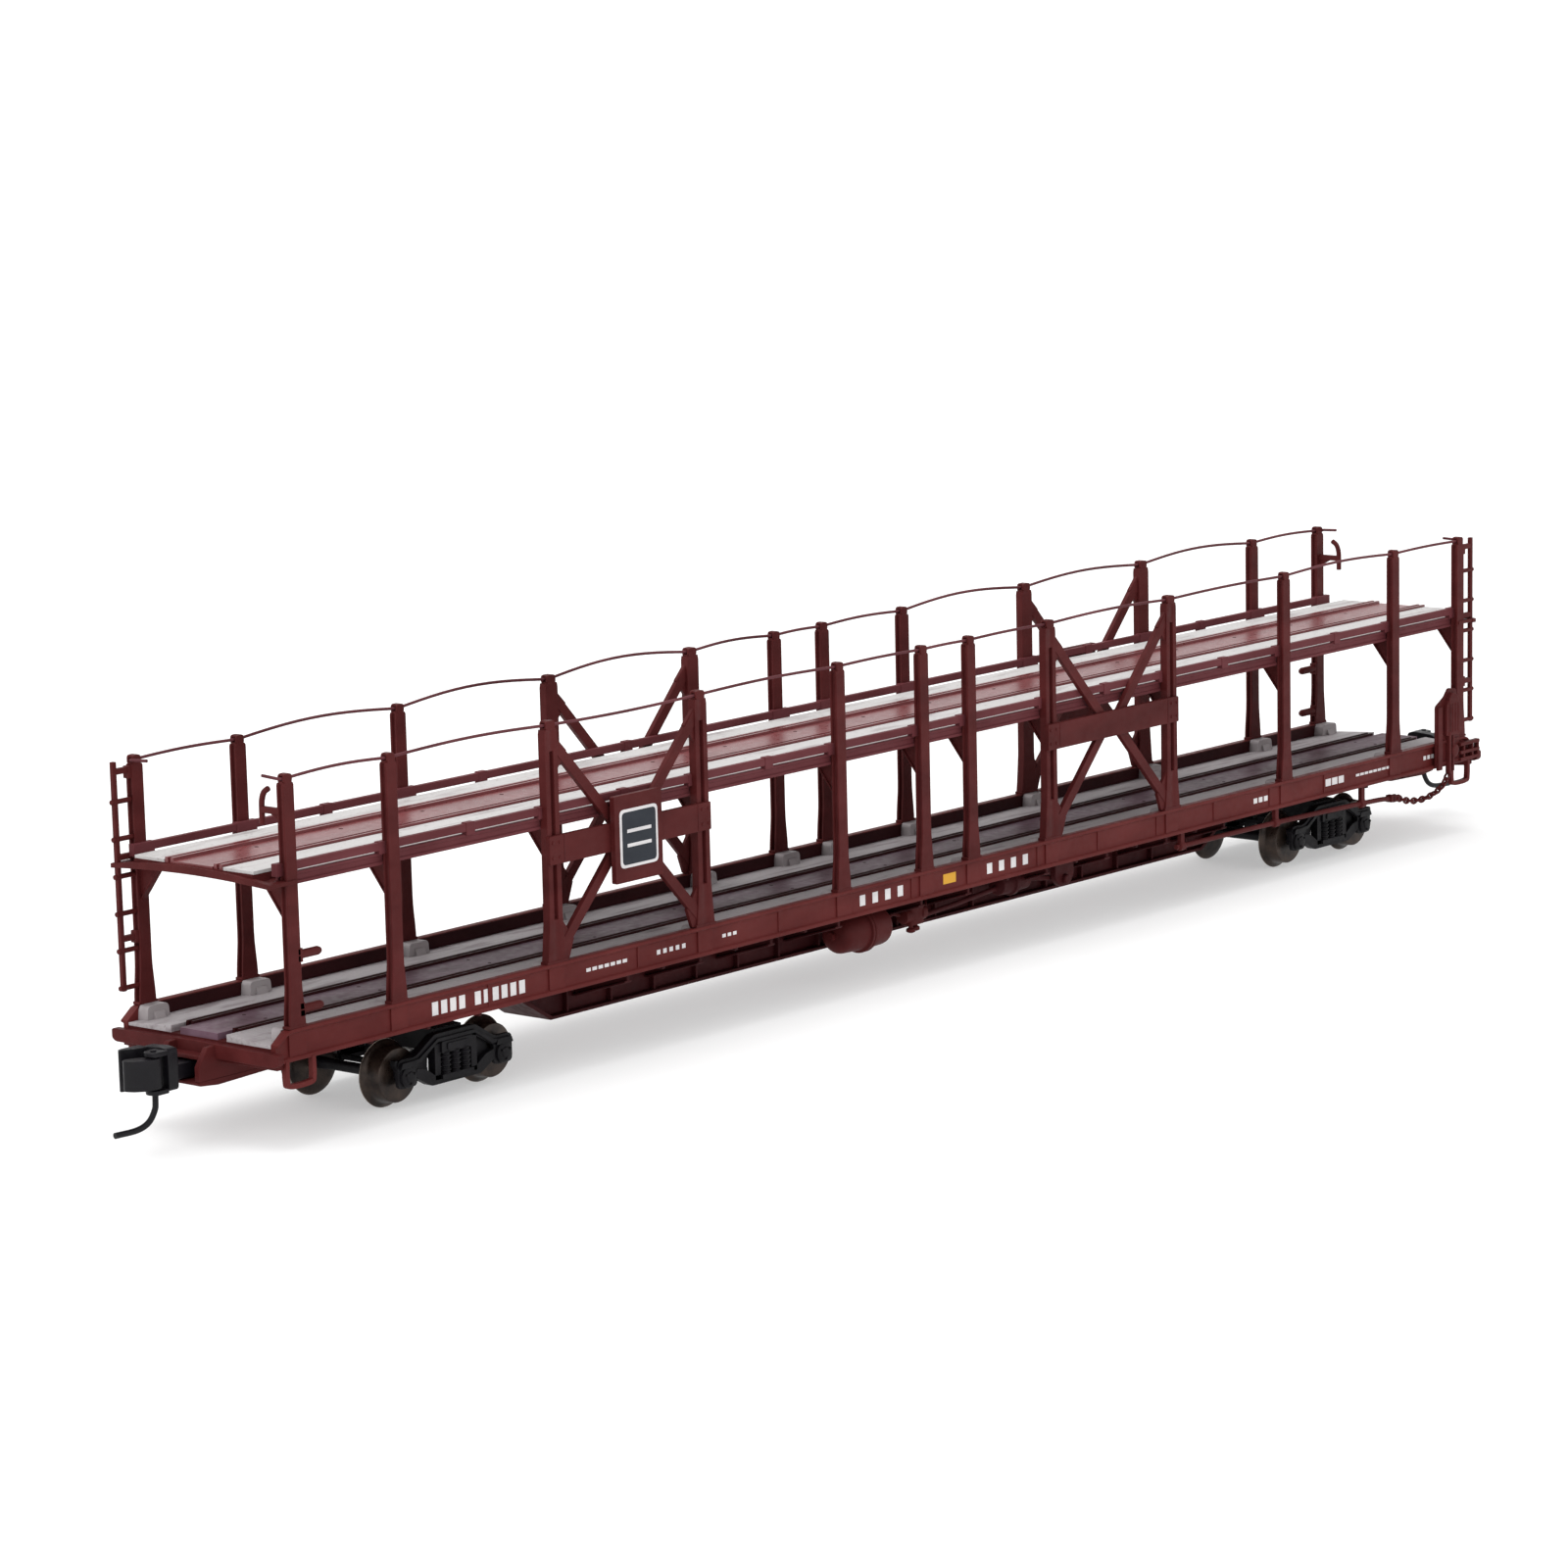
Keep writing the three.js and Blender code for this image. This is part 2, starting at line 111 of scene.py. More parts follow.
@dataclass
class Shell:
    """One closed surface: its corner points, one row each, and the point numbers of each face."""

    points: np.ndarray
    faces: list[list[int]]

    def outward(self) -> "Shell":
        """The same surface with every face looking out.

        Its signed volume is the sum, over fans of each face, of the triple product of the corners.
        """
        tris = np.array([(f[0], f[i], f[i + 1]) for f in self.faces for i in range(1, len(f) - 1)])
        a, b, c = (self.points[tris[:, k]] for k in range(3))
        if np.einsum("ij,ij->", a, np.cross(b, c)) < 0:
            return Shell(self.points, [f[::-1] for f in self.faces])
        return self

    def times(self, x: int, y: int) -> "Shell":
        """The surface with x and y multiplied by 1 or -1: a mirror image, or half a turn."""
        return Shell(self.points * np.array([x, y, 1]), self.faces).outward()


def loft(rings: np.ndarray, endless: bool = False) -> Shell:
    """Joins a row of rings, shape (rings, corners, 3), into a closed surface.

    Point (i, j) is ring i's corner j; a face joins (i, j), (i, j+1), (i+1, j+1), (i+1, j). The ends
    are flat faces, unless it is endless: the last ring then joins the first, as on a chain link.
    """
    m, n, _ = rings.shape
    grid = np.arange(m * n).reshape(m, n)
    after = np.roll(grid, -1, axis=0) if endless else grid[1:]
    here = grid if endless else grid[:-1]
    quads = np.stack([here, np.roll(here, -1, 1), np.roll(after, -1, 1), after], -1)
    faces = quads.reshape(-1, 4).tolist()
    if not endless:
        faces += [grid[0][::-1].tolist(), grid[-1].tolist()]
    return Shell(rings.reshape(-1, 3).astype(float), faces).outward()


def carry(flat: np.ndarray, along: np.ndarray, axis: Axis) -> Shell:
    """Lofts 2-D sections, shape (m, n, 2), each at its own position along an axis."""
    w, u, v = axis.value
    rings = np.empty(flat.shape[:2] + (3,))
    rings[..., w] = np.array(along)[:, None]
    rings[..., u] = flat[..., 0]
    rings[..., v] = flat[..., 1]
    return loft(rings)


def about(x: float, half: float) -> tuple:
    """The limits of a width that is centred on x."""
    return (x - half, x + half)


def mirrored(y: tuple) -> list:
    """The Y limits on the left side, then the same limits on the right side."""
    return [y, (-y[1], -y[0])]


def rectangle(u: tuple, v: tuple) -> list:
    """The corners of a rectangle between two limits on each axis."""
    return [(u[0], v[0]), (u[1], v[0]), (u[1], v[1]), (u[0], v[1])]


def rounded(outline: list, radius: float, steps: int = 3) -> np.ndarray:
    """Rounds the corners of an outline of (u, v) pairs, with a curve of a few steps at each.

    Corner P becomes the curve (1-s)^2 A + 2 s (1-s) P + s^2 B, where A and B lie on its two edges
    at the radius from P, or at 0.45 of a shorter edge.
    """
    p = np.array(outline, float)
    back, ahead = np.roll(p, 1, 0) - p, np.roll(p, -1, 0) - p
    lb, la = np.linalg.norm(back, axis=1), np.linalg.norm(ahead, axis=1)
    a = p + back / lb[:, None] * np.minimum(radius, 0.45 * lb)[:, None]
    b = p + ahead / la[:, None] * np.minimum(radius, 0.45 * la)[:, None]
    s = np.linspace(0, 1, steps + 1)[None, :, None]
    curve = (1 - s) ** 2 * a[:, None] + 2 * s * (1 - s) * p[:, None] + s**2 * b[:, None]
    return curve.reshape(-1, 2)


def prism(outline: list, span: tuple, axis: Axis) -> Shell:
    """An outline carried straight between two limits along an axis."""
    return carry(np.repeat(np.array(outline, float)[None], 2, 0), span, axis)


def slab(outline: list, radius: float, span: tuple, axis: Axis = Axis.Y, steps: int = 3) -> Shell:
    """A prism whose outline has rounded corners."""
    return prism(rounded(outline, radius, steps), span, axis)


def block(x: tuple, y: tuple, z: tuple) -> Shell:
    """A rectangular block between two limits on each axis."""
    return prism(rectangle(y, z), x, Axis.X)


def turned_bar(profile: list, centre: tuple, axis: Axis, sides: int = 32) -> Shell:
    """A surface of revolution: each (t, r) pair of the profile is a circle of radius r at t.

    The axis crosses the plane of the other two coordinates at the centre.
    """
    tr = np.array(profile, float)
    angle = np.linspace(0, 2 * math.pi, sides, endpoint=False)
    circle = np.stack([np.cos(angle), np.sin(angle)], -1)
    return carry(np.array(centre, float) + tr[:, 1, None, None] * circle[None], tr[:, 0], axis)


def unit(rows: np.ndarray) -> np.ndarray:
    """Each row divided by its length."""
    return rows / np.linalg.norm(rows, axis=1)[:, None]


def smooth_path(points: list, count: int) -> np.ndarray:
    """A Catmull-Rom curve through points: on each span the cubic with slopes (next - last) / 2."""
    p = np.array(points, float)
    ext = np.vstack([2 * p[0] - p[1], p, 2 * p[-1] - p[-2]])
    t = np.linspace(0, len(p) - 1 - 1e-9, count)
    i = t.astype(int)
    s = (t - i)[:, None]
    a, b, c, d = ext[i], ext[i + 1], ext[i + 2], ext[i + 3]
    return 0.5 * (2 * b + (c - a) * s + (2 * a - 5 * b + 4 * c - d) * s**2
                  + (3 * b - a - 3 * c + d) * s**3)


def rod(path: list, radius: float, sides: int = 12, lean: tuple = (0.13, 0.31, 0.94)) -> Shell:
    """A round bar along a path that never follows the lean direction.

    Each ring is centre + radius (cos q N + sin q B), with N = T x lean made unit and B = T x N.
    """
    path = np.array(path, float)
    tangent = unit(np.gradient(path, axis=0))
    normal = unit(np.cross(tangent, np.array(lean)))
    other = np.cross(tangent, normal)
    q = np.linspace(0, 2 * math.pi, sides, endpoint=False)[None, :, None]
    return loft(path[:, None] + radius * (np.cos(q) * normal[:, None] + np.sin(q) * other[:, None]))


def strut(a: tuple, b: tuple, width: float, y: tuple) -> Shell:
    """A flat bar in the upright (x, z) plane from a to b, between two Y limits."""
    p, q = np.array(a, float), np.array(b, float)
    side = np.array([-(q - p)[1], (q - p)[0]]) / np.linalg.norm(q - p) * width / 2
    return prism([p - side, q - side, q + side, p + side], y, Axis.Y)


def widened(section: list, x: float, widths: np.ndarray) -> np.ndarray:
    """Copies of a section that stand at x, each with its own width for the section's 1."""
    flat = np.repeat(np.array(section)[None], len(widths), 0)
    flat[..., 0] = x + flat[..., 0] * widths[:, None]
    return flat


# ---- finishes ----


class Nodes:
    """Small helper that wires a material's nodes."""

    def __init__(self, name: str) -> None:
        """Starts a material with a Principled shader and object coordinates."""
        self.material = bpy.data.materials.new(name)
        self.material.use_nodes = True
        self.tree = self.material.node_tree
        self.shader = self.tree.nodes["Principled BSDF"]
        self.place = self.add("ShaderNodeTexCoord").outputs["Object"]

    def add(self, kind: str, **values: object) -> bpy.types.Node:
        """Adds a node and sets attributes or input sockets by name."""
        node = self.tree.nodes.new(kind)
        for key, value in values.items():
            if hasattr(node, key):
                setattr(node, key, value)
            else:
                node.inputs[key.replace("_", " ")].default_value = value
        return node

    def join(self, source: object, target: object) -> None:
        """Links an output to an input."""
        self.tree.links.new(source, target)

    def feed(self, name: str, source: object) -> None:
        """Links an output to one of the shader's inputs."""
        self.join(source, self.shader.inputs[name])

    def shade(self, **values: object) -> None:
        """Sets inputs of the shader by name."""
        for key, value in values.items():
            self.shader.inputs[key.replace("_", " ")].default_value = value

    def noise(self, scale: float, detail: float = 3.0, stretch: tuple = (1, 1, 1)) -> object:
        """Noise at a number of cells per metre, stretched per axis; returns its Fac output."""
        mapping = self.add("ShaderNodeMapping")
        mapping.inputs["Scale"].default_value = stretch
        self.join(self.place, mapping.inputs["Vector"])
        noise = self.add("ShaderNodeTexNoise", Scale=scale, Detail=detail)
        self.join(mapping.outputs["Vector"], noise.inputs["Vector"])
        return noise.outputs["Fac"]

    def ramp(self, fac: object, stops: list) -> object:
        """A colour ramp over fac with (position, rgb) stops; returns its colour."""
        ramp = self.add("ShaderNodeValToRGB")
        elements = ramp.color_ramp.elements
        while len(elements) < len(stops):
            elements.new(0.5)
        for element, (position, rgb) in zip(elements, stops):
            element.position = position
            element.color = (*rgb, 1.0)
        self.join(fac, ramp.inputs["Fac"])
        return ramp.outputs["Color"]

    def span(self, fac: object, lo: float, hi: float) -> object:
        """Maps fac 0.3..0.7 onto lo..hi."""
        node = self.add("ShaderNodeMapRange", From_Min=0.3, From_Max=0.7, To_Min=lo, To_Max=hi)
        self.join(fac, node.inputs["Value"])
        return node.outputs["Result"]

    def bump(self, height: object, strength: float, depth: float, under: object = None) -> object:
        """A bump from a height, in metres of depth, on top of another bump if given."""
        node = self.add("ShaderNodeBump", Strength=strength, Distance=depth)
        self.join(height, node.inputs["Height"])
        if under is not None:
            self.join(under, node.inputs["Normal"])
        return node.outputs["Normal"]


@dataclass(frozen=True)
class PaintedPlastic:
    """Satin paint or moulded plastic, with a faint mottle, a fine grain and a soft sheen.

    Attributes:
        dark, light: Linear colours of the mottle.
        roughness: Lowest and highest roughness.
        grain: Strength of the fine surface grain.
        coat: Weight of the thin clear coat.
        specular: Specular level.
        ripple: Strength of the slow surface waviness.
    """

    name: str
    dark: tuple
    light: tuple
    roughness: tuple = (0.42, 0.56)
    grain: float = 0.25
    coat: float = 0.0
    specular: float = 0.5
    ripple: float = 0.35

    def material(self) -> bpy.types.Material:
        """Makes the material: mottle at about 2 mm, drawn out along the car, grain at 0.15 mm."""
        n = Nodes(self.name)
        mottle = n.noise(MOTTLE, 4.0, (0.35, 1.0, 1.0))
        n.feed("Base Color", n.ramp(mottle, [(0.32, self.dark), (0.7, self.light)]))
        n.feed("Roughness", n.span(n.noise(CLOUD, 2.0), *self.roughness))
        grain = n.noise(GRAIN, 2.0)
        soft = n.bump(mottle, self.ripple, RIPPLE_DEPTH)
        n.feed("Normal", n.bump(grain, self.grain, GRAIN_DEPTH, soft))
        n.shade(Coat_Weight=self.coat, Coat_Roughness=0.25, Specular_IOR_Level=self.specular)
        return n.material


@dataclass(frozen=True)
class TreadPaint:
    """Pale worn paint on the tread strips, with cross ribs and rubbed-through patches.

    Attributes:
        paint: Linear colour of the paint.
        dirt: Linear colour of grime and thin paint.
        pitch: Distance between the cross ribs in millimetres.
    """

    name: str
    paint: tuple
    dirt: tuple
    pitch: float = 0.55

    def material(self) -> bpy.types.Material:
        """Makes the material: grime in lengthwise streaks, and a wave across the strip as bump."""
        n = Nodes(self.name)
        streak = n.noise(900.0, 5.0, (0.18, 1.0, 1.0))
        speck = n.noise(2600.0, 3.0)
        base = n.ramp(streak, [(0.34, self.dirt), (0.47, self.paint), (0.75, self.paint)])
        spots = n.ramp(speck, [(0.28, (0.62, 0.58, 0.56)), (0.4, (1.0, 1.0, 1.0))])
        mix = n.add("ShaderNodeMix", data_type="RGBA", blend_type="MULTIPLY")
        mix.inputs["Factor"].default_value = 0.8
        n.join(base, mix.inputs["A"])
        n.join(spots, mix.inputs["B"])
        n.feed("Base Color", mix.outputs["Result"])
        wave = n.add("ShaderNodeTexWave", wave_type="BANDS", bands_direction="X",
                     Scale=math.pi / (self.pitch * MM) / 10.0, Distortion=0.6, Detail=1.0)
        n.join(n.place, wave.inputs["Vector"])
        n.feed("Normal", n.bump(wave.outputs["Fac"], 0.35, 0.00005))
        n.feed("Roughness", n.span(speck, 0.5, 0.68))
        return n.material


@dataclass(frozen=True)
class TurnedMetal:
    """Blackened metal, with fine scratches and a bright rubbed tint.

    Attributes:
        dark: Linear colour where it is blackened.
        bright: Linear colour where it is rubbed.
        roughness: Lowest and highest roughness.
        metallic: Metalness.
    """

    name: str
    dark: tuple
    bright: tuple
    roughness: tuple = (0.25, 0.42)
    metallic: float = 0.85

    def material(self) -> bpy.types.Material:
        """Makes the material: tint and gloss follow two noises, scratches a stretched third."""
        n = Nodes(self.name)
        n.feed("Base Color", n.ramp(n.noise(700.0, 4.0), [(0.35, self.dark), (0.68, self.bright)]))
        n.feed("Roughness", n.span(n.noise(2500.0, 3.0), *self.roughness))
        n.feed("Normal", n.bump(n.noise(3000.0, 2.0, (1.0, 6.0, 1.0)), 0.3, 0.00002))
        n.shade(Metallic=self.metallic)
        return n.material


OXIDE = PaintedPlastic(
    "oxide_paint", (0.056, 0.0085, 0.0085), (0.083, 0.0145, 0.0145), (0.42, 0.58), specular=0.07)
OXIDE_SILL = PaintedPlastic(
    "oxide_paint_sill", (0.080, 0.0115, 0.0110), (0.112, 0.0190, 0.0180), (0.40, 0.55), specular=0.08)
# Darker oxide for the parts under the middle of the car; on the upper deck's hole discs it is painted
# shade.
OXIDE_LOW_AND_HOLE_SHADE = PaintedPlastic(
    "oxide_low_and_hole_shade", (0.030, 0.0045, 0.0055), (0.052, 0.0090, 0.0100), (0.5, 0.66), specular=0.08)
OXIDE_RIB = PaintedPlastic(
    "oxide_paint_rib", (0.042, 0.0050, 0.0055), (0.070, 0.0110, 0.0110), (0.45, 0.6), specular=0.10)
# Very dark oxide for the lower deck's ribs and rivets; on the sills' inner faces it is painted shade.
OXIDE_DEEP_AND_SILL_SHADE = PaintedPlastic(
    "oxide_deep_and_painted_sill_shade", (0.020, 0.0030, 0.0040), (0.034, 0.0060, 0.0070), (0.45, 0.6), specular=0.08)
OXIDE_RAIL = PaintedPlastic(
    "oxide_paint_rail", (0.090, 0.0210, 0.0245), (0.124, 0.033, 0.038), (0.45, 0.6), specular=0.07)
CHANNEL_UP = PaintedPlastic(
    "channel_paint_upper", (0.125, 0.0180, 0.0200), (0.165, 0.030, 0.033), (0.26, 0.36), 0.05, 0.0,
    0.55, 0.05)
# Lower channel: dark purple-brown paint whose light mottle patches, drawn out along the car, are a
# painted sheen.
CHANNEL_LOW_PAINTED_SHEEN = PaintedPlastic(
    "channel_lower_painted_sheen", (0.060, 0.0200, 0.0300), (0.150, 0.085, 0.115), (0.36, 0.48), 0.03, 0.0,
    0.08, 0.03)
# Black plastic for the trucks and axles; on the screw slots it is painted shade.
BLACK_AND_SLOT_SHADE = PaintedPlastic(
    "black_plastic_and_slot_shade", (0.0024, 0.0020, 0.0028), (0.0066, 0.0056, 0.0076), (0.40, 0.58), 0.35,
    specular=0.14)
CHARCOAL = PaintedPlastic(
    "coupler_plastic", (0.0030, 0.0026, 0.0040), (0.0075, 0.0062, 0.0090), (0.36, 0.5), 0.3,
    specular=0.2)
PALE_MARK = PaintedPlastic(
    "pale_marking", (0.55, 0.53, 0.54), (0.72, 0.70, 0.70), (0.5, 0.62), specular=0.2)
SLATE = PaintedPlastic(
    "slate_field", (0.010, 0.013, 0.020), (0.020, 0.025, 0.034), (0.4, 0.5), specular=0.2)
OCHRE_MARK = PaintedPlastic(
    "ochre_marking", (0.55, 0.27, 0.02), (0.68, 0.36, 0.04), (0.5, 0.6), specular=0.2)
POCKET = PaintedPlastic(
    "pocket_grey", (0.250, 0.220, 0.225), (0.370, 0.340, 0.345), (0.5, 0.65), specular=0.2)
WIRE = PaintedPlastic(
    "wire_paint", (0.070, 0.018, 0.022), (0.120, 0.036, 0.042), (0.4, 0.55), specular=0.08)
TREAD_UP = TreadPaint("tread_upper", (0.48, 0.465, 0.46), (0.36, 0.33, 0.33))
TREAD_LOW = TreadPaint("tread_lower", (0.36, 0.33, 0.34), (0.22, 0.185, 0.195))
WHEEL = TurnedMetal(
    "wheel_metal", (0.012, 0.0075, 0.0065), (0.050, 0.033, 0.025), (0.26, 0.42), 0.6)
WHEEL_FACE = TurnedMetal(
    "wheel_face", (0.008, 0.0045, 0.0045), (0.020, 0.0115, 0.0105), (0.35, 0.5), 0.3)
RIM = TurnedMetal("rubbed_rim", (0.16, 0.13, 0.11), (0.30, 0.25, 0.21), (0.25, 0.35))
STEEL = TurnedMetal("plain_steel", (0.30, 0.29, 0.28), (0.46, 0.45, 0.44))


def put(name: str, data: object) -> bpy.types.Object:
    """A new object in the scene."""
    thing = bpy.data.objects.new(name, data)
    bpy.context.scene.collection.objects.link(thing)
    return thing


class Workshop:
    """Makes pieces out of shells, and keeps one material per finish."""

    def __init__(self) -> None:
        """Starts with no materials made."""
        self.made: dict = {}

    def material(self, finish: object) -> bpy.types.Material:
        """The material of a finish, made once."""
        if finish not in self.made:
            self.made[finish] = finish.material()
        return self.made[finish]

    def piece(self, node: str, coats: list, slot: str, edge: float = 0.0, turned: bool = False,
              body: str = "car_body") -> None:
        """Makes the one object that stands for a CAD node, named after it.

        Args:
            node: CAD node that it replaces.
            coats: (finish, shells) pairs.
            slot: The record's material slot; not used.
            edge: Width of the soft edges in millimetres, 0 for none.
            turned: True to turn the shapes half round first.
            body: CAD body that it rides on.
        """
        name = f"{node}_shape"
        points, faces, marks, start = [], [], [], 0
        for number, (_, shells) in enumerate(coats):
            for shell in shells:
                shell = shell.times(-1, -1) if turned else shell
                points.append(shell.points)
                faces += [[i + start for i in face] for face in shell.faces]
                marks += [number] * len(shell.faces)
                start += len(shell.points)
        mesh = bpy.data.meshes.new(name)
        mesh.from_pydata((np.concatenate(points) * MM).tolist(), [], faces)
        for finish, _ in coats:
            mesh.materials.append(self.material(finish))
        mesh.polygons.foreach_set("material_index", np.array(marks, np.int32))
        mesh.polygons.foreach_set("use_smooth", np.ones(len(faces), bool))
        mesh.set_sharp_from_angle(angle=SHARP)
        mesh.update()
        thing = put(name, mesh)
        if edge:
            bevel = thing.modifiers.new("soft_edges", "BEVEL")
            bevel.width = edge * MM
            bevel.segments = 2
            bevel.limit_method = "ANGLE"
            bevel.angle_limit = SHARP
            bevel.harden_normals = True
        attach(thing, body)
        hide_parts(node)
        LOG.info("%s: %d faces on %s", name, len(faces), body)


# ---- floor of the car ----


@dataclass
class Underframe:
    """The fish-belly underframe with its cross-bearers, draft boxes and end sills.

    Attributes:
        half: Half the length over the floor pan.
        belly: Where the deep part of the centre sill ends.
        rise: Where its slope meets the floor.
        bearers: Positions of the cross-bearers, each side of the middle.
    """

    half: float = 84.2
    belly: float = 46.2
    rise: float = 52.0
    bearers: tuple = (3.355, 14.885, 24.0, 33.3, 42.5)

    def centre_sill(self) -> list[Shell]:
        """Web and bottom flange of the fish-belly, as upright outlines carried across the car."""
        b, r = self.belly, self.rise
        web = prism([(-r, 7.0), (-b, 3.35), (b, 3.35), (r, 7.0)], (-2.0, 2.0), Axis.Y)
        flange = prism([(-r - 0.5, 6.9), (-b - 0.1, 3.1), (b + 0.1, 3.1), (r + 0.5, 6.9),
                        (r - 0.1, 6.98), (b - 0.1, 3.4), (-b + 0.1, 3.4), (-r + 0.1, 6.98)],
                       (-2.7, 2.7), Axis.Y)
        stiff = [block(about(x, 0.12), (-2.5, 2.5), (3.3, 6.98)) for x in np.arange(-44, 45, 5.5)]
        return [web, flange, *stiff]

    def cross_bearers(self) -> list[Shell]:
        """Tapered ribs with a bottom flange, from the centre sill out to the side sills."""
        shells = []
        for x in (*self.bearers, *(-b for b in self.bearers)):
            shells += [
                prism([(-8, 6.4), (-2.3, 4.7), (2.3, 4.7), (8, 6.4), (8, 7), (-8, 7)],
                      about(x, 0.16), Axis.X),
                prism([(-8, 6.25), (-2.3, 4.5), (2.3, 4.5), (8, 6.25), (8, 6.45), (2.3, 4.72),
                       (-2.3, 4.72), (-8, 6.45)], about(x, 0.45), Axis.X)]
        for x in (-60.5, -28.6, -19.4, 19.4, 28.6, 38.0, -38.0, 9.1, 66.5, -66.5, 73, -73):
            shells.append(block(about(x, 0.2), (-8, 8), (6.62, 7.0)))
        return shells

    def end_work(self) -> list[Shell]:
        """End sill, body bolster, centre plate and draft box of both ends."""
        sill = slab([(-9.3, 7.15), (-8.9, 6.9), (8.9, 6.9), (9.3, 7.15), (9.3, 7.95), (0, 8.12),
                     (-9.3, 7.95)], 0.2, (84.1, 84.8), Axis.X)
        plate = turned_bar([(6.4, 2.2), (7.0, 2.35)], (TRUCK_X, 0), Axis.Z, 40)
        bolster = prism([(-7.6, 6.75), (-3.2, 6.5), (3.2, 6.5), (7.6, 6.75), (7.6, 7), (-7.6, 7)],
                        about(TRUCK_X, 1.6), Axis.X)
        side = prism([(BOX_X, 5.3), (86.6, 5.3), (86.6, 6.5), (85.6, 7.9), (84.4, 8.0), (84.4, 7.0),
                      (BOX_X, 7.0)], (1.87, 2.4), Axis.Y)
        lid = block((BOX_X, 85.9), (-1.9, 1.9), (6.87, 7.2))
        back = block((BOX_X, 79.6), (-1.9, 1.9), (5.3, 7.0))
        slope = prism([(72.5, 6.97), (78.3, 5.3), (78.3, 7.0)], (-2.0, 2.0), Axis.Y)
        post = turned_bar([(5.3, 0.6), (7.0, 0.6)], (COUPLER_X, 0), Axis.Z, 24)
        braces = [prism([(84.2, s * 2.2), (84.2, s * 8.6), (83.2, s * 8.6), (79.0, s * 2.2)],
                        (6.55, 7.0), Axis.Z) for s in (1, -1)]
        end = [sill, plate, bolster, side, side.times(1, -1), lid, back, slope, post, *braces]
        return end + [shell.times(-1, -1) for shell in end]

    def pipework(self) -> list[Shell]:
        """Train pipe, brake cylinder with its push rod, and the lever bracket."""
        pipe = rod(smooth_path([(-72, 4.4, 6.6), (-54, 4.4, 6.3), (-44, 3.6, 5.7), (0, 3.5, 5.6),
                                (44, 3.6, 5.7), (54, 4.4, 6.3), (72, 4.4, 6.6)], 60), 0.22, 10)
        push = rod([(0.4, -4.9, 4.5), (5, -4.9, 4.75), (12, -4.9, 5.3)], 0.24, 10)
        drum = turned_bar([(11.2, 0.4), (11.4, 0.95), (12.9, 1.0), (13.0, 1.2), (13.5, 1.2),
                           (13.6, 0.95), (15.4, 0.9), (15.8, 0.5)], (-4.9, 5.5), Axis.X, 28)
        lever = slab([(18.5, 6.95), (18.5, 5.0), (19.3, 4.2), (20.6, 4.2), (21.3, 5.1),
                      (21.3, 6.95)], 0.4, (-6.2, -5.6))
        arm = strut((15.6, 5.5), (20.6, 4.8), 0.4, (-5.5, -5.1))
        pin = turned_bar([(-6.6, 0.35), (-6.5, 0.45), (-5.0, 0.45)], (19.9, 4.9), Axis.Y, 16)
        stays = [block(about(x, 0.2), (-5.3, -4.5), (5.9, 7.0)) for x in (12.2, 14.8)]
        return [pipe, push, drum, lever, arm, pin, *stays]

    def build(self, shop: Workshop) -> None:
        """Makes the underframe as one piece."""
        pan = block((-self.half, self.half), (-7.98, 7.98), (6.95, 7.55))
        low = [pan, *self.centre_sill(), *self.cross_bearers(), *self.pipework()]
        shop.piece("underframe", [(OXIDE_LOW_AND_HOLE_SHADE, low), (OXIDE, self.end_work())], "frame_oxide", 0.07)


@dataclass
class LowerDeck:
    """The lower deck: pale tread strips, double guide ribs, a centre channel and post pockets.

    Attributes:
        top: Height of the tread surface beside the sills.
        crown: Height of the tread surface beside the ribs.
        half: Half its length.
    """

    top: float = 8.45
    crown: float = 8.8
    half: float = 84.15

    def pockets(self) -> list[Shell]:
        """Grey sockets inside the sills at every post, each with an inner web that leans."""
        shells = []
        low = self.top - 0.1
        for x in ALL_X:
            for s in (1, -1):
                shells += [
                    slab([(x - 1.25, low), (x + 1.25, low), (x + 1.15, 9.4), (x + 0.95, 9.62),
                          (x - 0.95, 9.62), (x - 1.15, 9.4)], 0.15, sorted((s * 6.9, s * 7.99))),
                    prism([(s * 6.5, low), (s * 7.9, low), (s * 7.9, 9.2), (s * 6.8, 9.1)],
                          about(x, 0.55), Axis.X)]
        return shells

    def build(self, shop: Workshop) -> None:
        """Makes the deck as one piece, whose treads and ribs start at the bed height."""
        h, t, bed = self.half, self.crown, 8.2
        base = block((-h, h), (-7.98, 7.98), (7.55, self.top - 0.2))
        treads = [prism([(s * 3.08, bed), (s * 7.97, bed), (s * 7.97, self.top), (s * 3.08, t)],
                        (-h, h), Axis.X) for s in (1, -1)]
        ribs = [prism([(a, bed), (b, bed), (b - 0.06, t + 0.16), (a + 0.06, t + 0.16)],
                      (-82.6, 82.6), Axis.X)
                for lo in (2.14, 2.7) for a, b in mirrored((lo, lo + 0.36))]
        # The channel's light patches are painted sheen.
        channel = block((-h, h), (-2.1, 2.1), (bed, t - 0.03))
        rivets = [turned_bar([(t - 0.05, 0.16), (t - 0.005, 0.16)], (x, y), Axis.Z, 12)
                  for x in np.arange(-78, 79, 13.0) for y in (-1.2, 1.2)]
        coats = [(OXIDE_RIB, [base]), (TREAD_LOW, treads), (CHANNEL_LOW_PAINTED_SHEEN, [channel]),
                 (POCKET, self.pockets()), (OXIDE_DEEP_AND_SILL_SHADE, [*ribs, *rivets])]
        shop.piece("lower_deck", coats, "deck_oxide", 0.06)


